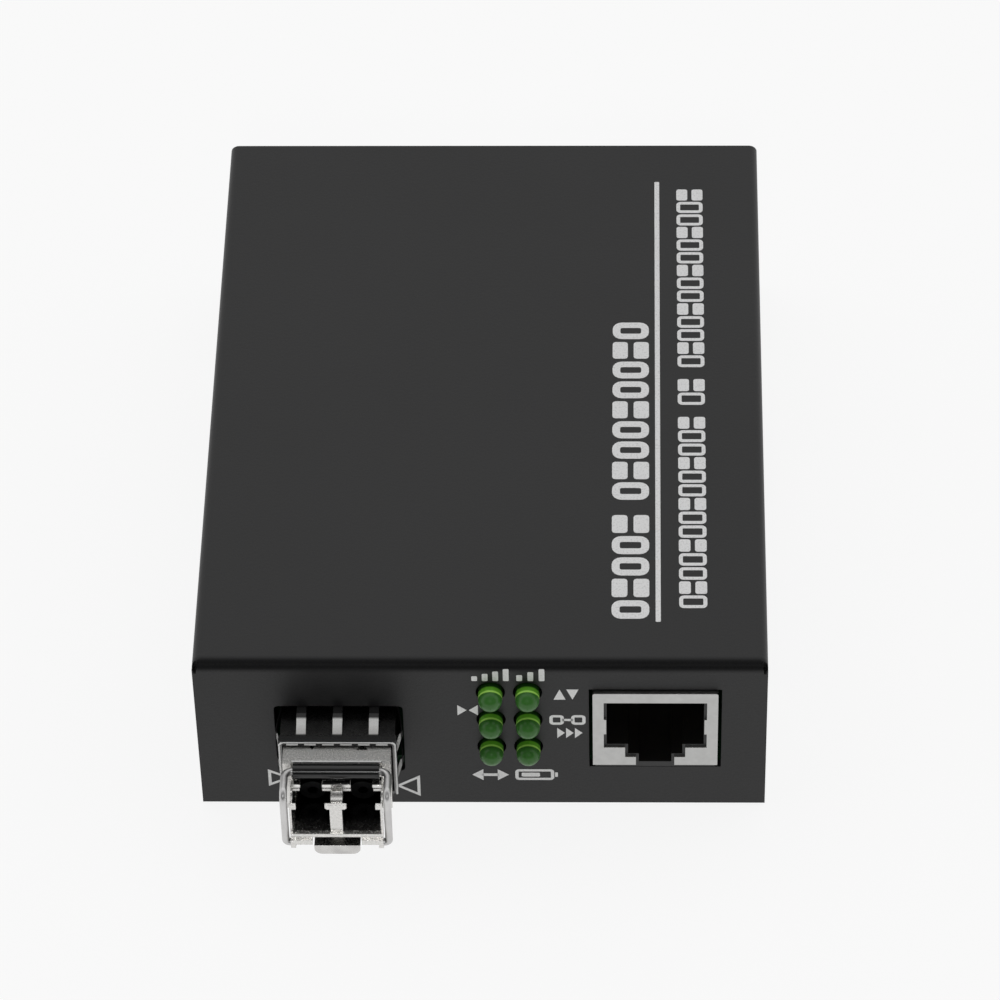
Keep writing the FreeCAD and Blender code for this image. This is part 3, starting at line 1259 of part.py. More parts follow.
def board_block(label, x, y, width, depth, height, edge):
    """One square component, its upright corners cut by `edge`."""
    body = new_body(label, x=x, y=y, z="board_top")
    plan = sketch(body, "XY")
    half, reach = f"({width} / 2)", f"({depth} / 2)"
    rectangle(plan, f"-{half}", half, f"-{reach}", reach)
    pad(body, plan, height)
    soften(body, edge, [straight_edge("z", x=f"{side}{half}", y=f"{end}{reach}")
                        for side in ("-", "") for end in ("-", "")], "Chamfer")
    return body


def bulk_capacitor():
    """Can capacitor with the groove round its foot."""
    body = new_body("bulk_capacitor", x=f"{INLET_X} + inlet_width / 2 + can_capacitor + 2 * part_gap",
                    y=f"{BOARD_REAR} - can_capacitor - inlet_pin_setback * 5", z="board_top")
    half = sketch(body, "XZ")
    neck, groove = "(can_capacitor - capacitor_groove)", "capacitor_groove"
    outline(half, (("0", "0"), ("can_capacitor", "0"), ("can_capacitor", f"4 * {groove}"),
                   (neck, f"5 * {groove}"), ("can_capacitor", f"6 * {groove}"),
                   ("can_capacitor", f"capacitor_height - {groove}"),
                   (neck, "capacitor_height"), ("0", "capacitor_height")))
    revolve(body, half)
    return body


def chip_parts():
    """Small square parts in two columns, one on each side of the switch chip."""
    _, x, y, *_ = CHIPS[0]
    sizes = [value(f"small_{name}") for name in ("width", "depth", "height")]
    reach = value("chip_side / 2 + part_gap")
    count = round(value("small_count"))
    solids = []
    for side in (-1, 1):
        for number in range(count):
            row = (number - count / 2) * value("small_pitch")
            corner = Vector(side * reach - sizes[0] / 2, row, 0)
            solids.append(Part.makeBox(*sizes, corner))
    return loose_group("chip_parts", solids, x=x, y=y, z="board_top")


# ---------------------------------------------------------------- build

def build_parts():
    """Make every sub-part and return them in order."""
    parts = [cover_shell(), base_pan(), cover_screws(), board_standoffs(), board_screws(),
             circuit_board(), rj_shield(), rj_housing(), rj_contacts(), sfp_cage(),
             cage_latch_tab(), cage_spring_collar(), sfp_host_connector(), lamp_holder(),
             lamp_leads(), inlet_body(), inlet_pin(), inlet_spring()]
    parts += [status_lamp(number, *spot) for number, spot in enumerate(LAMPS, 1)]
    parts += [board_block(*chip) for chip in CHIPS]
    parts += [bulk_capacitor(), chip_parts()]
    parts += [module_housing(), module_cover(), module_board(),
              optical_barrel("transmitter_barrel", "-"), optical_barrel("receiver_barrel", "+"),
              bail_wire(), bail_sleeve(), latch_lever()]
    return parts


def check_and_export(parts):
    """Stop on any failed object or bad shape, then write one file a sub-part."""
    DOC.recompute()
    for item in DOC.Objects:
        if {"Invalid", "Error"} & set(item.State):
            raise RuntimeError(f"{item.Label} failed: {item.State}")
    for part in parts:
        if part.Shape.isNull() or not part.Shape.isValid() or not part.Shape.Solids:
            raise RuntimeError(f"{part.Label} has a bad shape")
    os.makedirs("parts", exist_ok=True)
    for part in parts:
        part.Shape.exportStep(f"parts/{part.Label}.step")
        print(f"{part.Label}: {len(part.Shape.Solids)} solid(s), {part.Shape.Volume:.1f} mm3")


check_and_export(build_parts())
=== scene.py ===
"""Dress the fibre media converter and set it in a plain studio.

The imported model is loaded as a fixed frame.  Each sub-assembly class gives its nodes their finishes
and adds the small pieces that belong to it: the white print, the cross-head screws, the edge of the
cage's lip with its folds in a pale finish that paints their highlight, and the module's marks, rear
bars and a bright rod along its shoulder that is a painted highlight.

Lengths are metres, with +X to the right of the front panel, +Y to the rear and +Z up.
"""
import logging
import math
from dataclasses import dataclass
from enum import Enum
from typing import Callable, Iterable, Sequence

import bmesh
import bpy
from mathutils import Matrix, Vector


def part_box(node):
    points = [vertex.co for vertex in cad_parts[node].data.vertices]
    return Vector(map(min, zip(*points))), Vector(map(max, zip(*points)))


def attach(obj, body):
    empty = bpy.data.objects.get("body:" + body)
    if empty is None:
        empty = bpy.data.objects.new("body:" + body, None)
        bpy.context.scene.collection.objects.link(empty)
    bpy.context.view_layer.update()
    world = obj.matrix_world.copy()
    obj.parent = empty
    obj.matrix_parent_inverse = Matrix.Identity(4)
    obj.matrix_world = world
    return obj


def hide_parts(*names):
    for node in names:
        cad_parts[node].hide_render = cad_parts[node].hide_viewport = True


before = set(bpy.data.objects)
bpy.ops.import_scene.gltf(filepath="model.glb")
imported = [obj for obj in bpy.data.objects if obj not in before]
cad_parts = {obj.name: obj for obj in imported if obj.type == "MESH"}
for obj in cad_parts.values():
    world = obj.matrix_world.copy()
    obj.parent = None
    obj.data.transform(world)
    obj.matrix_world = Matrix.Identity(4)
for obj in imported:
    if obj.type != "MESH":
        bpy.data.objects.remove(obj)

MM = 0.001
LOG = logging.getLogger("converter")
Colour = tuple[float, float, float]
Span = tuple[float, float]
Triple = tuple[float, float, float]
Socket = bpy.types.NodeSocket
Shape = bmesh.types.BMesh
EVEN: Triple = (1, 1, 1)


class Body(Enum):
    """Rigid bodies that the added pieces move with."""

    CASE = "case"
    MODULE = "transceiver"


class Slot(Enum):
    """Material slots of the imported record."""

    COAT = "powder_coat"
    SCREWS = "zinc_screws"
    NICKEL = "nickel_sheet"
    CAST = "die_cast"


class Axis(Enum):
    """Axes of the frame."""

    X = "X"
    Y = "Y"
    Z = "Z"


class Mix(Enum):
    """What a mix node blends: its type, and the numbers of its first input and its output."""

    COLOUR = ("RGBA", 6, 2)
    VALUE = ("FLOAT", 2, 0)


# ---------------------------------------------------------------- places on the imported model


def panel_face() -> float:
    """Y of the front panel's outer face."""
    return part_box("cover_shell")[0].y


def cover_face() -> float:
    """Z of the cover's upper face."""
    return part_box("cover_shell")[1].z


def board_face() -> float:
    """Z of the circuit board's upper face."""
    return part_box("circuit_board")[1].z


def module_ridge() -> Span:
    """X of the module housing's middle plane, and Z of its top."""
    low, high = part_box("module_housing")
    return (low.x + high.x) / 2, high.z


# ---------------------------------------------------------------- finishes


class Shader:
    """A node material while it is being wired."""

    def __init__(self, name: str) -> None:
        """Start an empty principled material.

        Args:
            name: Name of the material.
        """
        self.material = bpy.data.materials.new(name)
        self.material.use_nodes = True
        self.tree = self.material.node_tree
        self.surface = self.tree.nodes["Principled BSDF"]

    def add(self, kind: str, **values: object) -> bpy.types.Node:
        """Add a node and set its properties or input sockets.

        Args:
            kind: Node type without the ShaderNode prefix.
            **values: Properties, or sockets by name with spaces as underscores.

        Returns:
            The new node.
        """
        node = self.tree.nodes.new("ShaderNode" + kind)
        for key, value in values.items():
            if hasattr(node, key):
                setattr(node, key, value)
            else:
                node.inputs[key.replace("_", " ")].default_value = value
        return node

    def link(self, source: Socket, target: Socket) -> None:
        """Join two sockets."""
        self.tree.links.new(source, target)

    def set(self, **values: object) -> None:
        """Set constants on the surface's own sockets, spaces written as underscores."""
        for key, value in values.items():
            self.surface.inputs[key.replace("_", " ")].default_value = value

    def point(self, stretch: Triple = EVEN) -> Socket:
        """Object-space position.

        Args:
            stretch: Scale of each axis before a texture reads it.

        Returns:
            A vector socket.
        """
        place = self.add("TexCoord").outputs["Object"]
        if stretch == EVEN:
            return place
        mapping = self.add("Mapping", Scale=stretch)
        self.link(place, mapping.inputs["Vector"])
        return mapping.outputs["Vector"]

    def noise(self, grain: float, detail: float = 2.0, stretch: Triple = EVEN) -> Socket:
        """Noise of a given grain.

        Args:
            grain: Size of one lump in metres.
            detail: Octaves of finer noise.
            stretch: Scale of each axis.

        Returns:
            A value socket from 0 to 1.
        """
        node = self.add("TexNoise", Scale=1.0 / grain, Detail=detail)
        self.link(self.point(stretch), node.inputs["Vector"])
        return node.outputs[0]

    def spread(self, value: Socket, low: float, high: float, start: float = 0.3,
               end: float = 0.7) -> Socket:
        """Map a value from one span to another.

        Args:
            value: Value to map.
            low: Result at `start` and before it.
            high: Result at `end` and after it.
            start: Value that gives `low`.
            end: Value that gives `high`.

        Returns:
            A value socket.
        """
        node = self.add("MapRange", From_Min=start, From_Max=end, To_Min=low, To_Max=high)
        self.link(value, node.inputs["Value"])
        return node.outputs[0]

    def share(self, value: Socket, start: float = 0.3, end: float = 0.7) -> Socket:
        """Rise from 0 to 1 while a value goes from `start` to `end`."""
        return self.spread(value, 0.0, 1.0, start, end)

    def place(self, axis: Axis) -> Socket:
        """Position along one axis of the object.

        Args:
            axis: The axis.

        Returns:
            A socket in metres.
        """
        split = self.add("SeparateXYZ")
        self.link(self.point(), split.inputs[0])
        return split.outputs[axis.value]

    def along(self, axis: Axis, start: float, end: float) -> Socket:
        """Rise from 0 to 1 between two places on an axis of the object."""
        return self.share(self.place(axis), start, end)

    def beside(self, middle: float, start: float, end: float) -> Socket:
        """Rise from 0 to 1 between two distances from a middle plane of X."""
        offset = self.combine("SUBTRACT", self.place(Axis.X), middle)
        return self.share(self.combine("ABSOLUTE", offset, 0.0), start, end)

    def combine(self, operation: str, first: Socket, second: Socket | float) -> Socket:
        """Work out one value from two.

        Args:
            operation: Operation of the math node.
            first: First value.
            second: Second value, a socket or a constant.

        Returns:
            A value socket.
        """
        node = self.add("Math", operation=operation)
        self.link(first, node.inputs[0])
        if isinstance(second, Socket):
            self.link(second, node.inputs[1])
        else:
            node.inputs[1].default_value = second
        return node.outputs[0]

    def times(self, first: Socket, second: Socket | float) -> Socket:
        """Product of two values."""
        return self.combine("MULTIPLY", first, second)

    def choose(self, factor: Socket, first: Socket, second: Socket,
               mix: Mix = Mix.COLOUR) -> Socket:
        """Blend two sockets.

        Args:
            factor: 0 for all of the first, 1 for all of the second.
            first: First colour or value.
            second: Second colour or value.
            mix: Whether colours or values are blended.

        Returns:
            The blended socket.
        """
        kind, first_input, output = mix.value
        node = self.add("Mix", data_type=kind)
        for place, socket in ((0, factor), (first_input, first), (first_input + 1, second)):
            self.link(socket, node.inputs[place])
        return node.outputs[output]

    def blend(self, factor: Socket, first: Colour, second: Colour) -> Socket:
        """Blend two fixed colours.

        Args:
            factor: 0 for all of the first, 1 for all of the second.
            first: First colour.
            second: Second colour.

        Returns:
            A colour socket.
        """
        kind, first_input, output = Mix.COLOUR.value
        node = self.add("Mix", data_type=kind)
        for place, colour in ((first_input, first), (first_input + 1, second)):
            node.inputs[place].default_value = (*colour, 1)
        self.link(factor, node.inputs[0])
        return node.outputs[output]

    def ramp(self, factor: Socket, stops: Sequence[tuple[float, Colour]]) -> Socket:
        """Pass through several colours.

        Args:
            factor: Place on the ramp, from 0 to 1.
            stops: Places and their colours, in order.

        Returns:
            A colour socket.
        """
        node = self.add("ValToRGB")
        elements = node.color_ramp.elements
        while len(elements) < len(stops):
            elements.new(1.0)
        for element, (place, colour) in zip(elements, stops):
            element.position = place
            element.color = (*colour, 1)
        self.link(factor, node.inputs[0])
        return node.outputs[0]

    def relief(self, height: Socket, depth: float, edge: float = 0.0,
               below: Socket | None = None) -> Socket:
        """Turn a height into a surface normal.

        Args:
            height: Value socket from 0 to 1.
            depth: Height of the relief in metres.
            edge: Radius that softens sharp edges, or 0.
            below: Normal socket of a coarser relief under this one.

        Returns:
            A normal socket.
        """
        node = self.add("Bump", Strength=1.0, Distance=depth)
        self.link(height, node.inputs["Height"])
        if below is not None:
            self.link(below, node.inputs["Normal"])
        elif edge:
            soft = self.add("Bevel", samples=6)
            soft.inputs["Radius"].default_value = edge
            self.link(soft.outputs[0], node.inputs["Normal"])
        return node.outputs[0]

    def finish(self, colour: Socket, roughness: Socket | None,
               normal: Socket) -> bpy.types.Material:
        """Wire the last sockets to the surface.

        Args:
            colour: Base colour.
            roughness: Roughness, or None where it is set as a constant.
            normal: Surface normal.

        Returns:
            The finished material.
        """
        for socket, name in ((colour, "Base Color"), (roughness, "Roughness"), (normal, "Normal")):
            if socket is not None:
                self.link(socket, self.surface.inputs[name])
        return self.material


@dataclass(frozen=True)
class PowderCoat:
    """Fine orange-peel powder coat on sheet steel, reflecting less in the bend over the front panel
    as a painted shade.
    """

    front: float
    top: float
    name: str = "charcoal_powder_coat"
    dark: Colour = (0.0070, 0.0070, 0.0074)
    light: Colour = (0.0125, 0.0125, 0.0130)
    pebble: float = 0.42 * MM
    pebble_height: float = 0.016 * MM
    speck: float = 0.13 * MM
    roughness: Span = (0.43, 0.47)
    bend_dimmed_shine: Span = (0.38, 0.09)
    bend: float = 1.15 * MM
    fade: float = 0.4 * MM
    cloud: float = 30 * MM
    edge: float = 0.12 * MM
    speck_share: float = 0.3

    def build(self) -> bpy.types.Material:
        """Return the material."""
        shader = Shader(self.name)
        pebbles = shader.noise(self.pebble, 1.0)
        specks = shader.noise(self.speck, 2.0)
        clouds = shader.noise(self.cloud, 3.0)
        rear, low = self.front + self.bend, self.top - self.bend
        # Painted shade: the coat's reflection is turned down in the bend over the front panel so the
        # bend looks dark.
        bent = shader.times(shader.along(Axis.Y, rear + self.fade, rear - self.fade),
                            shader.along(Axis.Z, low - self.fade, low + self.fade))
        bend_dimmed_shine = shader.spread(bent, *self.bend_dimmed_shine, 0.0, 1.0)
        shader.link(bend_dimmed_shine, shader.surface.inputs["Specular IOR Level"])
        coarse = shader.relief(pebbles, self.pebble_height, self.edge)
        fine = shader.relief(specks, self.pebble_height * self.speck_share, below=coarse)
        colour = shader.blend(shader.share(specks), self.dark, self.light)
        return shader.finish(colour, shader.spread(clouds, *self.roughness), fine)


@dataclass(frozen=True)
class Metal:
    """Bare or plated metal with a fine brushed or grainy relief."""

    name: str
    colour: Colour
    shade: Colour
    roughness: Span
    grain: float = 0.3 * MM
    relief: float = 0.001 * MM
    stretch: Triple = EVEN
    edge: float = 0.0
    metallic: float = 1.0
    stain_grains: float = 9

    def build(self) -> bpy.types.Material:
        """Return the material."""
        shader = Shader(self.name)
        shader.set(Metallic=self.metallic)
        grain = shader.noise(self.grain, 3.0, self.stretch)
        stains = shader.noise(self.grain * self.stain_grains)
        colour = shader.blend(shader.share(stains), self.shade, self.colour)
        return shader.finish(colour, shader.spread(grain, *self.roughness),
                             shader.relief(grain, self.relief, self.edge))


@dataclass(frozen=True)
class SpringStrip:
    """Collar sheet with its reflections painted in: dark on its band, a painted highlight on the
    front part of its fingers, dark behind.
    """

    front: float
    name: str = "spring_strip_painted_reflections"
    dark: Colour = (0.030, 0.030, 0.030)
    bright: Colour = (1.0, 1.0, 0.98)
    dull: Colour = (0.70, 0.69, 0.67)
    reach: float = 5.0 * MM
    metallic: float = 0.15
    grain: float = 0.12 * MM
    stretch: Triple = (6, 1, 1)
    roughness: Span = (0.24, 0.36)
    relief: float = 0.0006 * MM
    edge: float = 0.03 * MM

    def build(self) -> bpy.types.Material:
        """Return the material."""
        shader = Shader(self.name)
        shader.set(Metallic=self.metallic)
        lines = shader.noise(self.grain, stretch=self.stretch)
        painted_reflection_place = shader.along(Axis.Y, self.front, self.front + self.reach)
        # Painted reflections along Y: a dark band, a painted highlight on the fingers' front part,
        # dark behind them.
        colour = shader.ramp(painted_reflection_place, ((0.0, self.dark), (0.20, self.dark), (0.23, self.dull),
                                    (0.45, self.bright), (0.57, self.bright), (0.62, self.dark)))
        return shader.finish(colour, shader.spread(lines, *self.roughness),
                             shader.relief(lines, self.relief, self.edge))


@dataclass(frozen=True)
class DieCast:
    """Plated die casting: bright and nearly smooth, grey and grainy on its top, with painted shade in
    its ports.
    """

    middle: float
    top: float
    port_front: float
    port_top: float
    post: Span = (0.68 * MM, 0.78 * MM)
    wall: Span = (5.35 * MM, 5.25 * MM)
    name: str = "plated_die_casting"
    bright: Colour = (0.76, 0.75, 0.73)
    shade: Colour = (0.62, 0.61, 0.59)
    dull: Colour = (0.34, 0.34, 0.33)
    # Nearly black painted shade for the insides of the ports.
    port_shade: Colour = (0.020, 0.020, 0.020)
    grain: float = 0.15 * MM
    ripple: float = 0.35 * MM
    relief: float = 0.013 * MM
    ripple_share: float = 0.12
    edge: float = 0.09 * MM
    top_fade: Span = (0.09 * MM, 0.07 * MM)
    front_fade: float = 0.1 * MM
    ceiling_fade: float = 0.05 * MM
    # How far from the port mouth the painted shade breaks into lighter specks, and how much.
    port_shade_reach: float = 2.2 * MM
    mouth_speck_span: Span = (0.08, 1.0)
    smooth_roughness: Span = (0.20, 0.30)
    blasted_roughness: Span = (0.40, 0.60)

    def build(self) -> bpy.types.Material:
        """Return the material."""
        shader = Shader(self.name)
        shader.set(Metallic=1.0)
        on_top = shader.along(Axis.Z, *(self.top - depth for depth in self.top_fade))
        grain = shader.noise(self.grain)
        ripple = shader.noise(self.ripple)
        blasted = shader.blend(shader.share(grain, 0.35, 0.65), self.dull, self.bright)
        smooth = shader.blend(shader.share(ripple), self.shade, self.bright)
        # Painted shade inside the ports: nearly black deep in, with grainy lighter specks towards the
        # mouth.
        inside = shader.times(
            shader.along(Axis.Y, self.port_front, self.port_front + self.front_fade),
            shader.along(Axis.Z, self.port_top + self.ceiling_fade, self.port_top))
        for bounds in (self.post, self.wall):
            inside = shader.times(inside, shader.beside(self.middle, *bounds))
        near = shader.along(Axis.Y, self.port_front + self.port_shade_reach, self.port_front)
        specks = shader.times(shader.share(shader.noise(self.grain, 1.0), 0.45, 0.70),
                              shader.spread(near, *self.mouth_speck_span, 0.0, 1.0))
        port_shade = shader.blend(specks, self.port_shade, self.dull)
        colour = shader.choose(inside, shader.choose(on_top, smooth, blasted), port_shade)
        roughness = shader.choose(on_top, shader.spread(ripple, *self.smooth_roughness),
                                  shader.spread(grain, *self.blasted_roughness), Mix.VALUE)
        height = shader.choose(on_top, shader.spread(ripple, 0.0, self.ripple_share), grain,
                               Mix.VALUE)
        return shader.finish(colour, roughness, shader.relief(height, self.relief, self.edge))


@dataclass(frozen=True)
class Moulding:
    """Moulded plastic with a fine spark-eroded texture."""

    name: str
    colour: Colour
    roughness: Span = (0.38, 0.5)
    grain: float = 0.12 * MM
    relief: float = 0.003 * MM
    patch: float = 4 * MM
    gain: float = 1.35
    lift: float = 0.001
    edge: float = 0.08 * MM

    def build(self) -> bpy.types.Material:
        """Return the material."""
        shader = Shader(self.name)
        grain = shader.noise(self.grain)
        patches = shader.noise(self.patch)
        lighter = tuple(channel * self.gain + self.lift for channel in self.colour)
        colour = shader.blend(shader.share(patches), self.colour, lighter)
        return shader.finish(colour, shader.spread(grain, *self.roughness),
                             shader.relief(grain, self.relief, self.edge))


@dataclass(frozen=True)
class LampPlastic:
    """Tinted epoxy of a lamp, with a painted shadow at the panel and a painted bright band and
    highlight behind its dome.
    """

    face: float
    name: str = "green_lamp_epoxy_painted_light"
    # Painted shadow where the lamp leaves the panel's hole.
    hole_shadow_paint: Colour = (0.010, 0.050, 0.006)
    band: Colour = (0.14, 0.46, 0.03)
    line: Colour = (0.50, 0.95, 0.16)
    dome: Colour = (0.038, 0.165, 0.022)
    tip: Colour = (0.055, 0.20, 0.035)
    reach: float = 3.0 * MM
    grain: float = 1.1 * MM
    relief: float = 0.003 * MM

    def build(self) -> bpy.types.Material:
        """Return the material."""
        shader = Shader(self.name)
        shader.set(Coat_Weight=0.40, Coat_Roughness=0.11, Roughness=0.4, Specular_IOR_Level=0.15)
        out = shader.along(Axis.Y, self.face, self.face - self.reach)
        # Painted light along the lamp: dark shadow by the panel, bright band, brighter highlight
        # line, then the dome, lighter towards its tip.
        colour = shader.ramp(out, ((0.0, self.hole_shadow_paint), (0.10, self.hole_shadow_paint), (0.16, self.band),
                                   (0.31, self.band), (0.36, self.line), (0.41, self.line),
                                   (0.45, self.dome), (0.95, self.tip)))
        swirl = shader.noise(self.grain, 1.0)
        return shader.finish(colour, None, shader.relief(swirl, self.relief))


@dataclass(frozen=True)
class Ink:
    """Screen-printed ink with a slightly rough film."""

    name: str
    colour: Colour
    worn: Colour
    metallic: float = 0.0
    grain: float = 0.25 * MM
    relief: float = 0.006 * MM
    roughness: Span = (0.45, 0.6)

    def build(self) -> bpy.types.Material:
        """Return the material."""
        shader = Shader(self.name)
        shader.set(Metallic=self.metallic)
        film = shader.noise(self.grain, 3.0)
        colour = shader.blend(shader.share(film, 0.28, 0.5), self.worn, self.colour)
        return shader.finish(colour, shader.spread(film, *self.roughness),
                             shader.relief(film, self.relief))


@dataclass(frozen=True)
class SolderMask:
    """Green circuit board with faint tracks under its mask, both greens made very dark as a painted
    shade.
    """

    name: str = "green_solder_mask_painted_dark"
    # Painted shade: both greens are made very dark, as the board lies in shade behind the case's
    # gaps.
    mask: Colour = (0.004, 0.024, 0.009)
    track: Colour = (0.008, 0.045, 0.017)
    pitch: float = 1.6 * MM
    grain: float = 0.4 * MM
    relief: float = 0.02 * MM
    roughness: Span = (0.3, 0.45)

    def build(self) -> bpy.types.Material:
        """Return the material."""
        shader = Shader(self.name)
        shader.set(Coat_Weight=0.4, Coat_Roughness=0.15)
        cells = shader.add("TexBrick", Scale=1.0 / self.pitch, Mortar_Size=0.12)
        shader.link(shader.point(), cells.inputs["Vector"])
        tracks = cells.outputs["Fac"]
        weave = shader.noise(self.grain)
        return shader.finish(shader.blend(tracks, self.mask, self.track),
                             shader.spread(weave, *self.roughness),
                             shader.relief(tracks, self.relief))


class Finishes:
    """Every finish of the object, built once."""

    port_lead: float = 12.35 * MM
    port_height: float = 5.86 * MM

    def __init__(self) -> None:
        """Build the materials."""
        self.coat = PowderCoat(panel_face(), cover_face()).build()
        self.nickel = Metal("nickel_plated_sheet", (0.74, 0.73, 0.71), (0.62, 0.61, 0.59),
                            (0.16, 0.26), 0.2 * MM, 0.0008 * MM, (1, 6, 1)).build()
        self.shield = Metal("satin_tinned_sheet", (0.51, 0.51, 0.50), (0.46, 0.46, 0.45),
                            (0.34, 0.42), 0.12 * MM, 0.0012 * MM, edge=0.05 * MM).build()
        # Painted shade: a much darker copy of the plated sheet, so the cage behind its lip looks
        # dark.
        self.cage = Metal("cage_sheet_darkened_for_shade", (0.20, 0.20, 0.195), (0.13, 0.13, 0.13),
                          (0.22, 0.34), 0.2 * MM, 0.0008 * MM, (1, 6, 1)).build()
        self.plated = Metal("bright_plating", (0.80, 0.79, 0.77), (0.68, 0.67, 0.65),
                            (0.16, 0.24), 0.25 * MM, 0.0015 * MM, edge=0.07 * MM).build()
        # Near-white, hardly metallic finish that paints the highlight on the cage's lip edge, its
        # clips and the module's shoulder rod.
        self.cut = Metal("pale_painted_highlight_edge", (0.95, 0.95, 0.94), (0.85, 0.85, 0.84),
                         (0.40, 0.50), relief=0.0003 * MM, metallic=0.15).build()
        # Collar sheet with its reflections painted in along its length.
        self.spring = SpringStrip(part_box("sfp_cage")[0].y).build()
        self.worn = Metal("worn_plating", (0.60, 0.60, 0.59), (0.50, 0.50, 0.49),
                          (0.50, 0.60), 0.2 * MM, 0.002 * MM).build()
        self.zinc = Metal("zinc_plated_steel", (0.60, 0.61, 0.62), (0.42, 0.43, 0.45),
                          (0.28, 0.42), relief=0.002 * MM).build()
        self.wire = Metal("drawn_wire", (0.66, 0.655, 0.65), (0.56, 0.555, 0.55),
                          (0.36, 0.46), 0.25 * MM, 0.0005 * MM, (1, 1, 4)).build()
        self.stamped = Metal("stamped_lever", (0.72, 0.71, 0.69), (0.52, 0.51, 0.50),
                             (0.2, 0.34), 0.3 * MM, 0.004 * MM, edge=0.05 * MM).build()
        self.turned = Metal("blackened_steel", (0.035, 0.035, 0.036), (0.02, 0.02, 0.021),
                            (0.3, 0.4), 0.12 * MM, 0.001 * MM, (1, 8, 1)).build()
        self.gold = Metal("gold_plating", (0.85, 0.58, 0.22), (0.72, 0.46, 0.16),
                          (0.18, 0.28)).build()
        self.tin = Metal("bright_tin", (0.72, 0.72, 0.71), (0.6, 0.6, 0.6), (0.2, 0.34)).build()
        # port_lead and port_height place the casting's painted port shade.
        self.cast = DieCast(*module_ridge(), panel_face() - self.port_lead,
                            board_face() + self.port_height).build()
        self.black = Moulding("black_moulding", (0.006, 0.006, 0.006)).build()
        self.sleeve = Moulding("black_sleeve", (0.006, 0.006, 0.0063), (0.16, 0.22),
                               0.4 * MM, 0.001 * MM).build()
        self.package = Moulding("chip_package", (0.014, 0.014, 0.015), (0.5, 0.62),
                                0.08 * MM, 0.006 * MM).build()
        self.ferrite = Moulding("grey_ferrite", (0.05, 0.05, 0.052), (0.55, 0.7)).build()
        self.lamp = LampPlastic(panel_face()).build()
        self.ink_top = Ink("white_top_ink", (0.86, 0.86, 0.86), (0.66, 0.66, 0.66)).build()
        self.ink_front = Ink("grey_white_front_ink", (0.86, 0.86, 0.85),
                             (0.74, 0.74, 0.73), 0.4).build()
        self.mask = SolderMask().build()


# ---------------------------------------------------------------- mesh helpers


def dress(material: bpy.types.Material, *nodes: str) -> None:
    """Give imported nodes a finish.

    Args:
        material: The finish.
        *nodes: Names of the nodes.
    """
    for name in nodes:
        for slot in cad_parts[name].material_slots:
            slot.material = material


def new_piece(name: str, build: Callable[[Shape], None], material: bpy.types.Material,
              body: Body, smooth_angle: float = 40.0) -> bpy.types.Object:
    """Make one added piece from mesh code.

    Args:
        name: Name of the piece.
        build: Function that fills an empty mesh.
        material: The piece's finish.
        body: Body that the piece moves with.
        smooth_angle: Edges flatter than this many degrees are shaded smooth.

    Returns:
        The new object.
    """
    mesh = bpy.data.meshes.new(name)
    shape = bmesh.new()
    build(shape)
    bmesh.ops.recalc_face_normals(shape, faces=shape.faces)
    limit = math.radians(smooth_angle)
    for face in shape.faces:
        face.smooth = True
    for edge in shape.edges:
        edge.smooth = len(edge.link_faces) == 2 and edge.calc_face_angle() < limit
    shape.to_mesh(mesh)
    shape.free()
    mesh.materials.append(material)
    piece = bpy.data.objects.new(name, mesh)
    bpy.context.scene.collection.objects.link(piece)
    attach(piece, body.value)
    LOG.info("%s: %d faces", name, len(mesh.polygons))
    return piece


def rounded_outline(low: Span, high: Span, radius: float, steps: int = 5) -> list[Span]:
    """Corner points of a rounded rectangle.

    Args:
        low: Lower left corner.
        high: Upper right corner.
        radius: Radius of the corners.
        steps: Segments of each corner.

    Returns:
        Points in order round the outline.
    """
    centres = ((high[0] - radius, high[1] - radius, 0), (low[0] + radius, high[1] - radius, 1),
               (low[0] + radius, low[1] + radius, 2), (high[0] - radius, low[1] + radius, 3))
    points = []
    for x, y, quarter in centres:
        for step in range(steps + 1):
            angle = (quarter + step / steps) * math.pi / 2
            points.append((x + radius * math.cos(angle), y + radius * math.sin(angle)))
    return points


def add_plate(shape: Shape, outline: Iterable[Vector], rise: Vector) -> None:
    """Add a closed plate.

    Args:
        shape: Mesh to add to.
        outline: Corners of one face in order.
        rise: Step from that face to the other.
    """
    bottom = [shape.verts.new(point) for point in outline]
    top = [shape.verts.new(vert.co + rise) for vert in bottom]
    shape.faces.new(bottom)
    shape.faces.new(top[::-1])
    count = len(bottom)
    for index in range(count):
        after = (index + 1) % count
        shape.faces.new((bottom[index], top[index], top[after], bottom[after]))


def inset(points: Sequence[Span], width: float) -> list[Span]:
    """Move every edge of a convex outline inwards by a width.

    Args:
        points: Outline in order, either way round.
        width: Distance that each edge moves.

    Returns:
        As many points as were given.
    """
    count = len(points)
    turn = sum(points[i - 1][0] * points[i][1] - points[i][0] * points[i - 1][1]
               for i in range(count))
    side = 1 if turn > 0 else -1
    moved = []
    for i, (x, y) in enumerate(points):
        before = Vector((x - points[i - 1][0], y - points[i - 1][1])).normalized()
        after = Vector((points[(i + 1) % count][0] - x, points[(i + 1) % count][1] - y)).normalized()
        reach = Vector((-before.y - after.y, before.x + after.x)) / (1 + before.dot(after))
        moved.append((x + side * width * reach.x, y + side * width * reach.y))
    return moved


def join_loops(shape: Shape, first: Sequence[bmesh.types.BMVert],
               second: Sequence[bmesh.types.BMVert]) -> None:
    """Add a strip of faces between two closed loops.

    Args:
        shape: Mesh to add to.
        first: Vertices of one loop.
        second: As many vertices of the other loop.
    """
    count = len(first)
    for i in range(count):
        j = (i + 1) % count
        shape.faces.new((first[i], first[j], second[j], second[i]))


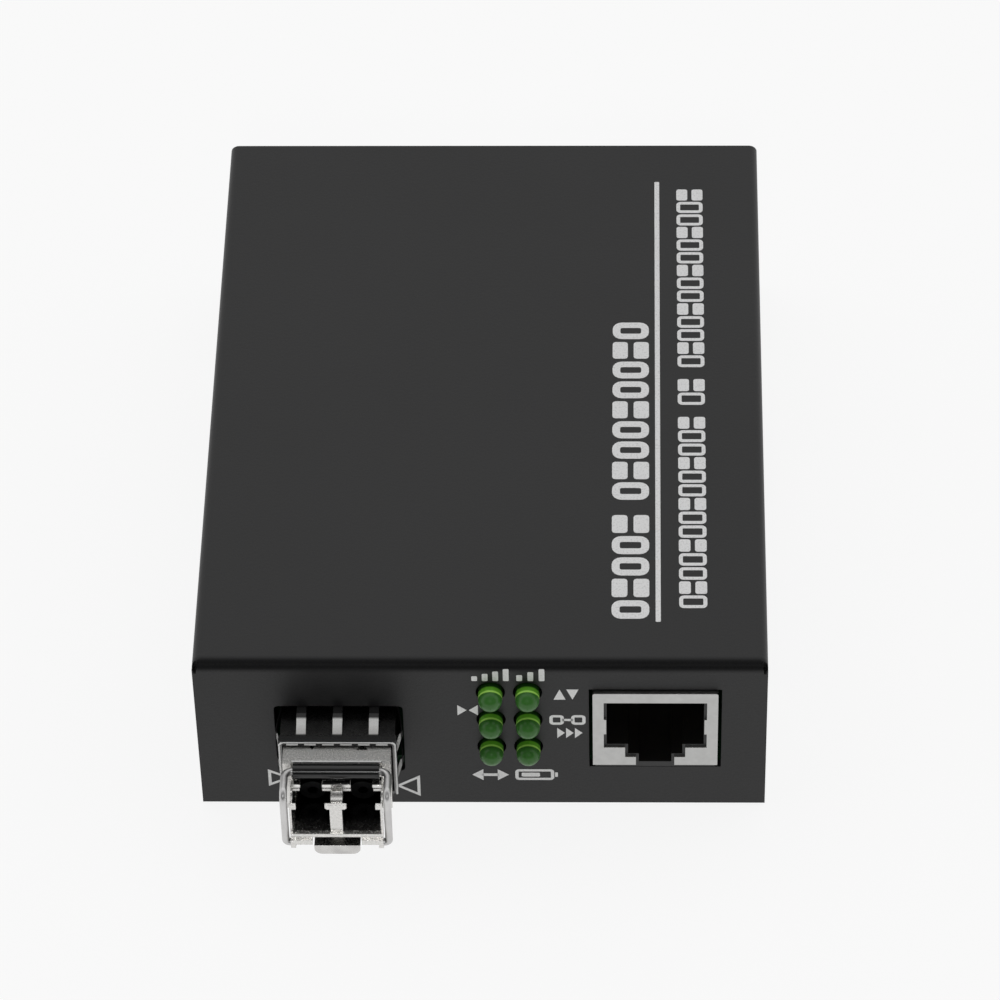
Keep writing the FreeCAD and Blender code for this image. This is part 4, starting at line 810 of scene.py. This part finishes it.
def add_band(shape: Shape, outer: Sequence[Vector], inner: Sequence[Vector],
             rise: Vector) -> None:
    """Add a closed band between two outlines.

    Args:
        shape: Mesh to add to.
        outer: Corners of the outer outline.
        inner: As many corners of the inner one.
        rise: Thickness of the band and its direction.
    """
    flat = Vector((0, 0, 0))
    loops = [[shape.verts.new(point + lift) for point in outline]
             for outline, lift in ((outer, flat), (outer, rise), (inner, rise), (inner, flat))]
    for first, second in zip(loops, loops[1:] + loops[:1]):
        join_loops(shape, first, second)


def add_rod(shape: Shape, route: Sequence[Vector], radius: float,
            sides: int = 10) -> None:
    """Add a closed round rod along a route that lies in a plane facing Y.

    Args:
        shape: Mesh to add to.
        route: Points of the centre line in order.
        radius: Radius of the rod.
        sides: Sides of its section.
    """
    rings = []
    for index, place in enumerate(route):
        way = (route[min(index + 1, len(route) - 1)] - route[max(index - 1, 0)]).normalized()
        out = Vector((-way.z, 0, way.x))
        angles = [2 * math.pi * side / sides for side in range(sides)]
        rings.append([shape.verts.new(place + (out * math.cos(angle)
                                               + Vector((0, math.sin(angle), 0))) * radius)
                      for angle in angles])
    shape.faces.new(rings[0])
    shape.faces.new(rings[-1])
    for first, second in zip(rings, rings[1:]):
        join_loops(shape, first, second)


# ---------------------------------------------------------------- case and its print


@dataclass
class Case:
    """Folded cover, pan and their screws."""

    finishes: Finishes
    recess: float = 1.25 * MM
    recess_width: float = 0.5 * MM
    recess_depth: float = 0.55 * MM
    taper: float = 0.55
    head_round: float = 0.08 * MM
    head_depth: float = 1.0 * MM
    length: float = 5.0 * MM
    flat_share: float = 0.97
    smooth_angle: float = 30.0
    steps: int = 4

    def build(self) -> None:
        """Dress the sheet metal and replace the plain side screws."""
        dress(self.finishes.coat, "cover_shell", "base_pan")
        dress(self.finishes.zinc, "board_standoffs", "board_screws")
        screws = new_piece("cross_head_side_screws", self.draw_screws, self.finishes.zinc,
                           Body.CASE, self.smooth_angle)
        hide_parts("cover_screws")

    def draw_screws(self, shape: Shape) -> None:
        """Add four countersunk screws with a cross recess, flush with the cover's sides.

        Args:
            shape: Mesh to add to.
        """
        low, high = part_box("cover_screws")
        radius = (high.z - low.z) / 2
        for side, x in ((-1, low.x), (1, high.x)):
            for y in (low.y + radius, high.y - radius):
                self.draw_screw(shape, Vector((x, y, (low.z + high.z) / 2)), side, radius)

    def draw_screw(self, shape: Shape, centre: Vector, side: int,
                   radius: float) -> None:
        """Add one screw whose head faces along +X or -X.

        Args:
            shape: Mesh to add to.
            centre: Middle of the head's flat.
            side: +1 or -1, where the head faces.
            radius: Radius of the head.
        """
        half = self.recess_width / 2
        reach = self.recess
        arms = [(half, half), (half, reach), (-half, reach), (-half, half), (-reach, half),
                (-reach, -half), (-half, -half), (-half, -reach), (half, -reach), (half, -half),
                (reach, -half), (reach, half)]
        cross = [Vector(start).lerp(Vector(end), step / self.steps)
                 for start, end in zip(arms, arms[1:] + arms[:1]) for step in range(self.steps)]
        rim = [point.normalized() * radius for point in cross]
        loops = []
        for points, scale, depth in ((cross, self.taper, self.recess_depth), (cross, 1.0, 0.0),
                                     (rim, self.flat_share, 0.0),
                                     (rim, 1.0, self.head_round),
                                     (rim, self.taper, self.head_depth),
                                     (rim, self.taper, self.length)):
            loops.append([shape.verts.new(centre + Vector((-side * depth, y * scale, z * scale)))
                          for y, z in points])
        shape.faces.new(loops[0])
        shape.faces.new(loops[-1])
        for inner, outer in zip(loops, loops[1:]):
            join_loops(shape, inner, outer)


@dataclass
class PrintPlane:
    """A flat face that is printed on, measured in millimetres along its two directions."""

    shape: Shape
    origin: Vector
    across: Vector
    up: Vector
    film: float = 0.02 * MM
    link_corner: float = 1.2
    link_steps: int = 4
    bar_corner: float = 0.2
    bar_steps: int = 2

    def plate(self, points: Sequence[Span]) -> None:
        """One solid mark."""
        add_plate(self.shape, self.places(points), self.rise())

    def ring(self, points: Sequence[Span], stroke: float) -> None:
        """One hollow mark: a closed stroke inside the given convex outline."""
        add_band(self.shape, self.places(points), self.places(inset(points, stroke)), self.rise())

    def rise(self) -> Vector:
        """Thickness of the ink, away from the face."""
        return self.across.cross(self.up) * self.film

    def places(self, points: Iterable[Span]) -> list[Vector]:
        """Points on the face."""
        return [self.origin + (self.across * u + self.up * v) * MM for u, v in points]

    def link(self, low: Span, high: Span, stroke: float) -> None:
        """A hollow rounded rectangle between two corners."""
        outline = rounded_outline(low, high, stroke * self.link_corner, self.link_steps)
        self.ring(outline, stroke)

    def bar(self, low: Span, high: Span) -> None:
        """A solid, slightly rounded rectangle between two corners."""
        width = min(high[0] - low[0], high[1] - low[1])
        self.plate(rounded_outline(low, high, width * self.bar_corner, self.bar_steps))

    def arrow(self, base: Span, tip: Span, half: float, stroke: float = 0.0) -> None:
        """A triangle, hollow if a stroke is given.

        Args:
            base: Middle of its base.
            tip: Its tip.
            half: Half of the base's width.
            stroke: Width of a hollow one's stroke, or 0.
        """
        way = Vector((tip[0] - base[0], tip[1] - base[1])).normalized()
        points = [(base[0] + way.y * half, base[1] - way.x * half), tip,
                  (base[0] - way.y * half, base[1] + way.x * half)]
        if stroke:
            self.ring(points, stroke)
        else:
            self.plate(points)


@dataclass(frozen=True)
class PrintRow:
    """A row of marks along Y; a group is a count, and a start and a length as shares of the row."""

    across: Span
    span: Span
    stroke: float
    groups: tuple[tuple[int, float, float], ...]


@dataclass
class Print:
    """Pale screen print: a rule and two rows of links on the top, small signs on the front.

    Its sizes are in millimetres on the printed face.
    """

    finishes: Finishes
    rule: tuple[Span, Span] = ((21.68, -39.8), (22.32, 39.8))
    rows: tuple[PrintRow, ...] = (
        PrintRow((16.2, 20.9), (-39.3, 13.5), 1.0, ((5, 0.0, 0.345), (9, 0.385, 0.615))),
        PrintRow((24.6, 28.1), (-37.5, 38.6), 0.5,
                 ((14, 0.0, 0.44), (2, 0.465, 0.065), (14, 0.555, 0.445))))
    gap: float = 0.55
    pair_every: int = 3
    pair_share: float = 0.42
    stairs: tuple[tuple[float, int, float], ...] = ((-1.05, 4, 1.30), (4.5, 3, 1.38))
    stair_foot: float = 23.05
    stair_width: float = 0.72
    stair_height: float = 2.2
    arrows: tuple[tuple[Span, Span, float], ...] = (
        ((-2.9, 17.6), (-1.75, 17.6), 0.95), ((-0.35, 17.6), (-1.5, 17.6), 0.95),
        ((9.8, 19.6), (9.8, 21.5), 0.75), ((11.4, 21.5), (11.4, 19.6), 0.75),
        ((9.45, 13.35), (10.4, 13.35), 0.95), ((10.55, 13.35), (11.5, 13.35), 0.95),
        ((11.65, 13.35), (12.6, 13.35), 0.95), ((0.1, 5.35), (-1.3, 5.35), 1.05),
        ((1.9, 5.35), (3.3, 5.35), 1.05))
    hollow_arrows: tuple[tuple[Span, Span, float], ...] = (
        ((-7.9, 3.2), (-11.0, 3.2), 2.0), ((-27.0, 4.7), (-24.0, 4.7), 1.6))
    links: tuple[tuple[Span, Span], ...] = (
        ((8.5, 14.9), (10.3, 16.7)), ((11.2, 14.9), (13.0, 16.7)), ((4.1, 4.35), (9.0, 6.4)))
    bars: tuple[tuple[Span, Span], ...] = (
        ((10.1, 15.6), (11.4, 16.0)), ((0.0, 5.1), (2.0, 5.6)), ((4.9, 5.0), (7.2, 5.75)),
        ((9.1, 4.95), (9.45, 5.8)))
    link_stroke: float = 0.42
    arrow_stroke: float = 0.38

    def build(self) -> None:
        """Print the top and the front."""
        new_piece("top_print", self.draw_top, self.finishes.ink_top, Body.CASE)
        new_piece("front_print", self.draw_front, self.finishes.ink_front, Body.CASE)

    def draw_top(self, shape: Shape) -> None:
        """Add a long rule with a bold row of links beside it and a fine row on its other side.

        Args:
            shape: Mesh to add to.
        """
        face = PrintPlane(shape, Vector((0, 0, cover_face())), Vector((1, 0, 0)),
                          Vector((0, 1, 0)))
        face.bar(*self.rule)
        for row in self.rows:
            for count, start, length in row.groups:
                self.add_group(face, row, count, start, length)

    def add_group(self, face: PrintPlane, row: PrintRow, count: int, start: float,
                  length: float) -> None:
        """Add equal marks along Y: links, with a pair of bars in place of every third one.

        Args:
            face: Face to print on.
            row: Row that the group belongs to.
            count: Number of marks.
            start: Start of the group as a share of the row.
            length: Length of the group as a share of the row.
        """
        left, right = row.across
        whole = row.span[1] - row.span[0]
        step = whole * length / count
        for number in range(count):
            low = row.span[0] + whole * start + step * number
            high = low + step - self.gap * row.stroke
            if number % self.pair_every == 1:
                width = (right - left) * self.pair_share
                face.bar((left, low), (left + width, high))
                face.bar((right - width, low), (right, high))
            else:
                face.link((left, low), (right, high), row.stroke)

    def draw_front(self, shape: Shape) -> None:
        """Add plain signs round the lamps: rising bars, arrows, links and bars.

        Args:
            shape: Mesh to add to.
        """
        face = PrintPlane(shape, Vector((0, panel_face(), 0)), Vector((1, 0, 0)),
                          Vector((0, 0, 1)))
        for left, count, step in self.stairs:
            for number in range(count):
                low = left + step * number
                rise = self.stair_height * (number + 2) / (count + 1)
                face.bar((low, self.stair_foot),
                         (low + self.stair_width, self.stair_foot + rise))
        for arrows, stroke in ((self.arrows, 0.0), (self.hollow_arrows, self.arrow_stroke)):
            for base, tip, half in arrows:
                face.arrow(base, tip, half, stroke)
        for low, high in self.links:
            face.link(low, high, self.link_stroke)
        for low, high in self.bars:
            face.bar(low, high)


# ---------------------------------------------------------------- ports and lamps


@dataclass
class NetworkJack:
    """Shielded network jack."""

    finishes: Finishes

    def build(self) -> None:
        """Dress the jack."""
        dress(self.finishes.shield, "rj_shield")
        dress(self.finishes.black, "rj_housing")
        dress(self.finishes.gold, "rj_contacts")


@dataclass
class Lamps:
    """Six green lamps, their holder and leads."""

    finishes: Finishes
    count: int = 6

    def build(self) -> None:
        """Dress the lamps."""
        names = [f"status_lamp_{number}" for number in range(1, self.count + 1)]
        dress(self.finishes.lamp, *names)
        dress(self.finishes.black, "lamp_holder")
        dress(self.finishes.tin, "lamp_leads")


@dataclass
class OpticalSlot:
    """Cage, collar and host connector."""

    finishes: Finishes
    sheet: float = 0.2 * MM
    lip_radius: float = 0.13 * MM
    lip_lead: float = 0.04 * MM
    lip_corner: float = 0.6 * MM
    corner_steps: int = 6
    clip_count: int = 6
    clip_pitch: float = 2.22 * MM
    clip_half: float = 0.72 * MM
    clip_radius: float = 0.14 * MM
    clip_air: float = 0.05 * MM

    def build(self) -> None:
        """Dress the cage in a darker sheet that paints its shade, and add its lip's edge with the
        folded clips in a pale finish that paints their highlight.
        """
        # The lip's edge and its clips get the pale finish that paints their highlight.
        new_piece("cage_lip_edge", self.draw_lip, self.finishes.cut, Body.CASE)
        dress(self.finishes.cage, "sfp_cage")
        dress(self.finishes.nickel, "cage_latch_tab")
        dress(self.finishes.spring, "cage_spring_collar")
        dress(self.finishes.black, "sfp_host_connector")

    def draw_lip(self, shape: Shape) -> None:
        """Add a rolled edge round the top and sides of the collar, and folds under its top.

        Args:
            shape: Mesh to add to.
        """
        low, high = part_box("sfp_cage")
        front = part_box("cage_spring_collar")[0].y
        edge = (low.y + front) / 2
        out = self.sheet - self.lip_radius
        left, right, top = low.x - out, high.x + out, high.z + out
        arcs = rounded_outline((left, low.z), (right, top), self.lip_corner, self.corner_steps)
        route = [(right, low.z), *arcs[:2 * (self.corner_steps + 1)], (left, low.z)]
        add_rod(shape, [Vector((x, edge - self.lip_lead, z)) for x, z in route], self.lip_radius)
        fold = top - self.lip_radius - self.clip_air - self.clip_radius
        for number in range(self.clip_count):
            centre = (left + right) / 2 + (number - (self.clip_count - 1) / 2) * self.clip_pitch
            add_rod(shape, [Vector((centre + side * self.clip_half, front, fold))
                            for side in (1, -1)], self.clip_radius)


@dataclass
class OpticalModule:
    """Plug-in module with its bail and latch."""

    finishes: Finishes
    mark_spread: float = 3.05 * MM
    mark_front: float = 6.0 * MM
    mark_half: float = 0.62 * MM
    mark_stretch: float = 1.1
    mark_height: float = 0.03 * MM
    bar_front: float = 9.56 * MM
    bar_depth: float = 0.72 * MM
    bar_low: float = 6.62 * MM
    bar_high: float = 7.2 * MM
    bar_half: float = 1.78 * MM
    bar_corner: float = 0.12 * MM
    bar_steps: int = 4
    side_bar: Span = (4.45 * MM, 5.6 * MM)
    # Place and size of the bright rod that paints the shoulder's highlight.
    highlight_front: float = 7.2 * MM
    highlight_half: float = 5.55 * MM
    highlight_radius: float = 0.12 * MM

    def build(self) -> None:
        """Dress the module and add its direction marks, rear bars and a rod that paints the highlight
        on its shoulder.
        """
        new_piece("direction_marks", self.draw_marks, self.finishes.worn, Body.MODULE)
        new_piece("nose_rear_bars", self.draw_bars, self.finishes.plated, Body.MODULE)
        # A bright rod that paints the highlight along the shoulder's edge.
        new_piece("shoulder_painted_highlight", self.draw_shoulder_highlight, self.finishes.cut, Body.MODULE)
        dress(self.finishes.cast, "module_housing")
        dress(self.finishes.nickel, "module_cover")
        dress(self.finishes.mask, "module_board")
        dress(self.finishes.turned, "transmitter_barrel", "receiver_barrel")
        dress(self.finishes.wire, "bail_wire")
        dress(self.finishes.sleeve, "bail_sleeve")
        dress(self.finishes.stamped, "latch_lever")

    def draw_bars(self, shape: Shape) -> None:
        """Add the nose's rear bars under the sleeve: one in the middle, one at each side.

        Args:
            shape: Mesh to add to.
        """
        middle, board = module_ridge()[0], board_face()
        front = panel_face() - self.bar_front
        near, far = self.side_bar
        for left, right in ((-self.bar_half, self.bar_half), (near, far), (-far, -near)):
            outline = rounded_outline((middle + left, board + self.bar_low),
                                      (middle + right, board + self.bar_high),
                                      self.bar_corner, self.bar_steps)
            add_plate(shape, [Vector((x, front, z)) for x, z in outline],
                      Vector((0, self.bar_depth, 0)))

    def draw_shoulder_highlight(self, shape: Shape) -> None:
        """Add a thin bright rod along the edge where the housing's top steps down to the nose, a
        painted highlight on that edge.

        Args:
            shape: Mesh to add to.
        """
        middle, top = module_ridge()
        y, z = panel_face() - self.highlight_front, top - self.highlight_radius / 2
        add_rod(shape, [Vector((middle + side * self.highlight_half, y, z)) for side in (1, -1)],
                self.highlight_radius)

    def draw_marks(self, shape: Shape) -> None:
        """Add two flat triangles on the housing's top, one pointing out and one pointing in.

        Args:
            shape: Mesh to add to.
        """
        middle, top = module_ridge()
        front = panel_face() - self.mark_front
        half, length = self.mark_half, self.mark_half * self.mark_stretch
        for side in (-1, 1):
            centre = Vector((middle + side * self.mark_spread, front, top))
            outline = [centre + Vector(corner) for corner in (
                (0, side * length, 0), (half, -side * length, 0), (-half, -side * length, 0))]
            add_plate(shape, outline, Vector((0, 0, self.mark_height)))


@dataclass
class Inside:
    """Circuit board, its parts and the power inlet."""

    finishes: Finishes

    def build(self) -> None:
        """Dress the board's parts."""
        dress(self.finishes.mask, "circuit_board")
        dress(self.finishes.package, "switch_chip", "line_transformer", "voltage_regulator",
              "chip_parts")
        dress(self.finishes.ferrite, "power_inductor")
        dress(self.finishes.tin, "timing_crystal", "bulk_capacitor", "inlet_pin", "inlet_spring")
        dress(self.finishes.black, "inlet_body")


# ---------------------------------------------------------------- studio


@dataclass(frozen=True)
class StudioLamp:
    """An oval area lamp that faces the object, with its power in watts."""

    name: str
    place: Triple
    size: Span
    power: float

    def add(self) -> None:
        """Add the lamp to the scene."""
        data = bpy.data.lights.new(self.name, "AREA")
        data.shape = "ELLIPSE"
        data.size, data.size_y = self.size
        data.energy = self.power
        lamp = bpy.data.objects.new(self.name, data)
        lamp.location = self.place
        lamp.rotation_euler = Vector(self.place).to_track_quat("Z", "Y").to_euler()
        bpy.context.scene.collection.objects.link(lamp)


@dataclass
class Studio:
    """Pale floor, soft light and the camera."""

    floor_size: float = 6.0
    floor_colour: Colour = (0.86, 0.86, 0.86)
    floor_roughness: float = 0.9
    floor_specular: float = 0.1
    camera_place: Triple = (0.01899, -0.48333, 0.51415)
    camera_turn: Triple = (43.576, 1.014, 1.025)
    camera_lens: float = 191.8
    camera_sensor: float = 36.0
    camera_reach: Span = (0.01, 20.0)
    lamps: tuple[StudioLamp, ...] = (
        StudioLamp("overhead", (0.0, 0.3, 1.4), (2.4, 2.0), 2.0),
        StudioLamp("sparkle", (0.0, -0.75, 0.62), (0.10, 0.10), 1.0))
    floor_glow: float = 1.0
    floor_share: float = 0.88
    sky: float = 0.85
    shade: float = 0.06
    shade_way: Triple = (0.0, -0.85, 0.53)
    shade_edge: Span = (0.40, 0.68)

    def build(self) -> None:
        """Make the floor, the world, the lamps and the camera."""
        bpy.context.scene.view_settings.view_transform = "Standard"
        self.make_floor()
        self.make_world()
        for lamp in self.lamps:
            lamp.add()
        self.make_camera()

    def make_floor(self) -> None:
        """A large pale floor that looks nearly white but keeps the object's soft shadow."""
        mesh = bpy.data.meshes.new("floor")
        half = self.floor_size / 2
        corners = [(-half, -half, 0), (half, -half, 0), (half, half, 0), (-half, half, 0)]
        mesh.from_pydata(corners, [], [(0, 1, 2, 3)])
        shader = Shader("pale_floor")
        shader.set(Base_Color=(*self.floor_colour, 1), Roughness=self.floor_roughness,
                   Specular_IOR_Level=self.floor_specular)
        glow = shader.add("Emission", Color=(1, 1, 1, 1), Strength=self.floor_glow)
        mix = shader.add("MixShader")
        shader.link(self.seen(shader, self.floor_share), mix.inputs[0])
        shader.link(shader.surface.outputs[0], mix.inputs[1])
        shader.link(glow.outputs[0], mix.inputs[2])
        output = shader.tree.nodes["Material Output"]
        shader.link(mix.outputs[0], output.inputs["Surface"])
        mesh.materials.append(shader.material)
        floor = bpy.data.objects.new("floor", mesh)
        bpy.context.scene.collection.objects.link(floor)

    def seen(self, shader: Shader, share: float) -> Socket:
        """Tell apart the rays that see the floor's glow.

        Args:
            shader: Shader of the floor.
            share: Value for rays from the camera and from glossy or clear surfaces.

        Returns:
            A socket with that share for those rays and 0 for all others.
        """
        path = shader.add("LightPath")
        total = path.outputs["Is Camera Ray"]
        for name in ("Is Glossy Ray", "Is Transmission Ray"):
            total = shader.combine("MAXIMUM", total, path.outputs[name])
        return shader.times(total, share)

    def make_world(self) -> None:
        """Bright surroundings with a soft dark patch in front, about a third of the way up."""
        world = bpy.data.worlds.new("soft_studio")
        bpy.context.scene.world = world
        world.use_nodes = True
        tree = world.node_tree
        background = tree.nodes["Background"]
        place = tree.nodes.new("ShaderNodeTexCoord")
        facing = tree.nodes.new("ShaderNodeVectorMath")
        facing.operation = "DOT_PRODUCT"
        facing.inputs[1].default_value = self.shade_way
        fall = tree.nodes.new("ShaderNodeMapRange")
        fall.interpolation_type = "SMOOTHSTEP"
        for key, value in (("From Min", self.shade_edge[0]), ("From Max", self.shade_edge[1]),
                           ("To Min", self.sky), ("To Max", self.shade)):
            fall.inputs[key].default_value = value
        tree.links.new(place.outputs["Generated"], facing.inputs[0])
        tree.links.new(facing.outputs["Value"], fall.inputs["Value"])
        tree.links.new(fall.outputs[0], background.inputs["Strength"])
        background.inputs["Color"].default_value = (1, 1, 1, 1)

    def make_camera(self) -> None:
        """Camera above the front, looking down at the panel and the top."""
        data = bpy.data.cameras.new("camera")
        data.lens = self.camera_lens
        data.sensor_width = self.camera_sensor
        data.clip_start, data.clip_end = self.camera_reach
        camera = bpy.data.objects.new("camera", data)
        camera.location = self.camera_place
        camera.rotation_euler = [math.radians(angle) for angle in self.camera_turn]
        bpy.context.scene.collection.objects.link(camera)
        bpy.context.scene.camera = camera


def main() -> None:
    """Build every sub-assembly in order and report each piece."""
    logging.basicConfig(level=logging.INFO, format="%(name)s: %(message)s")
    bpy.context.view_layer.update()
    finishes = Finishes()
    Studio().build()
    for assembly in (Case(finishes), Print(finishes), NetworkJack(finishes), Lamps(finishes),
                     OpticalSlot(finishes), OpticalModule(finishes), Inside(finishes)):
        assembly.build()
        LOG.info("%s done", type(assembly).__name__)


if __name__ == "__main__":
    main()
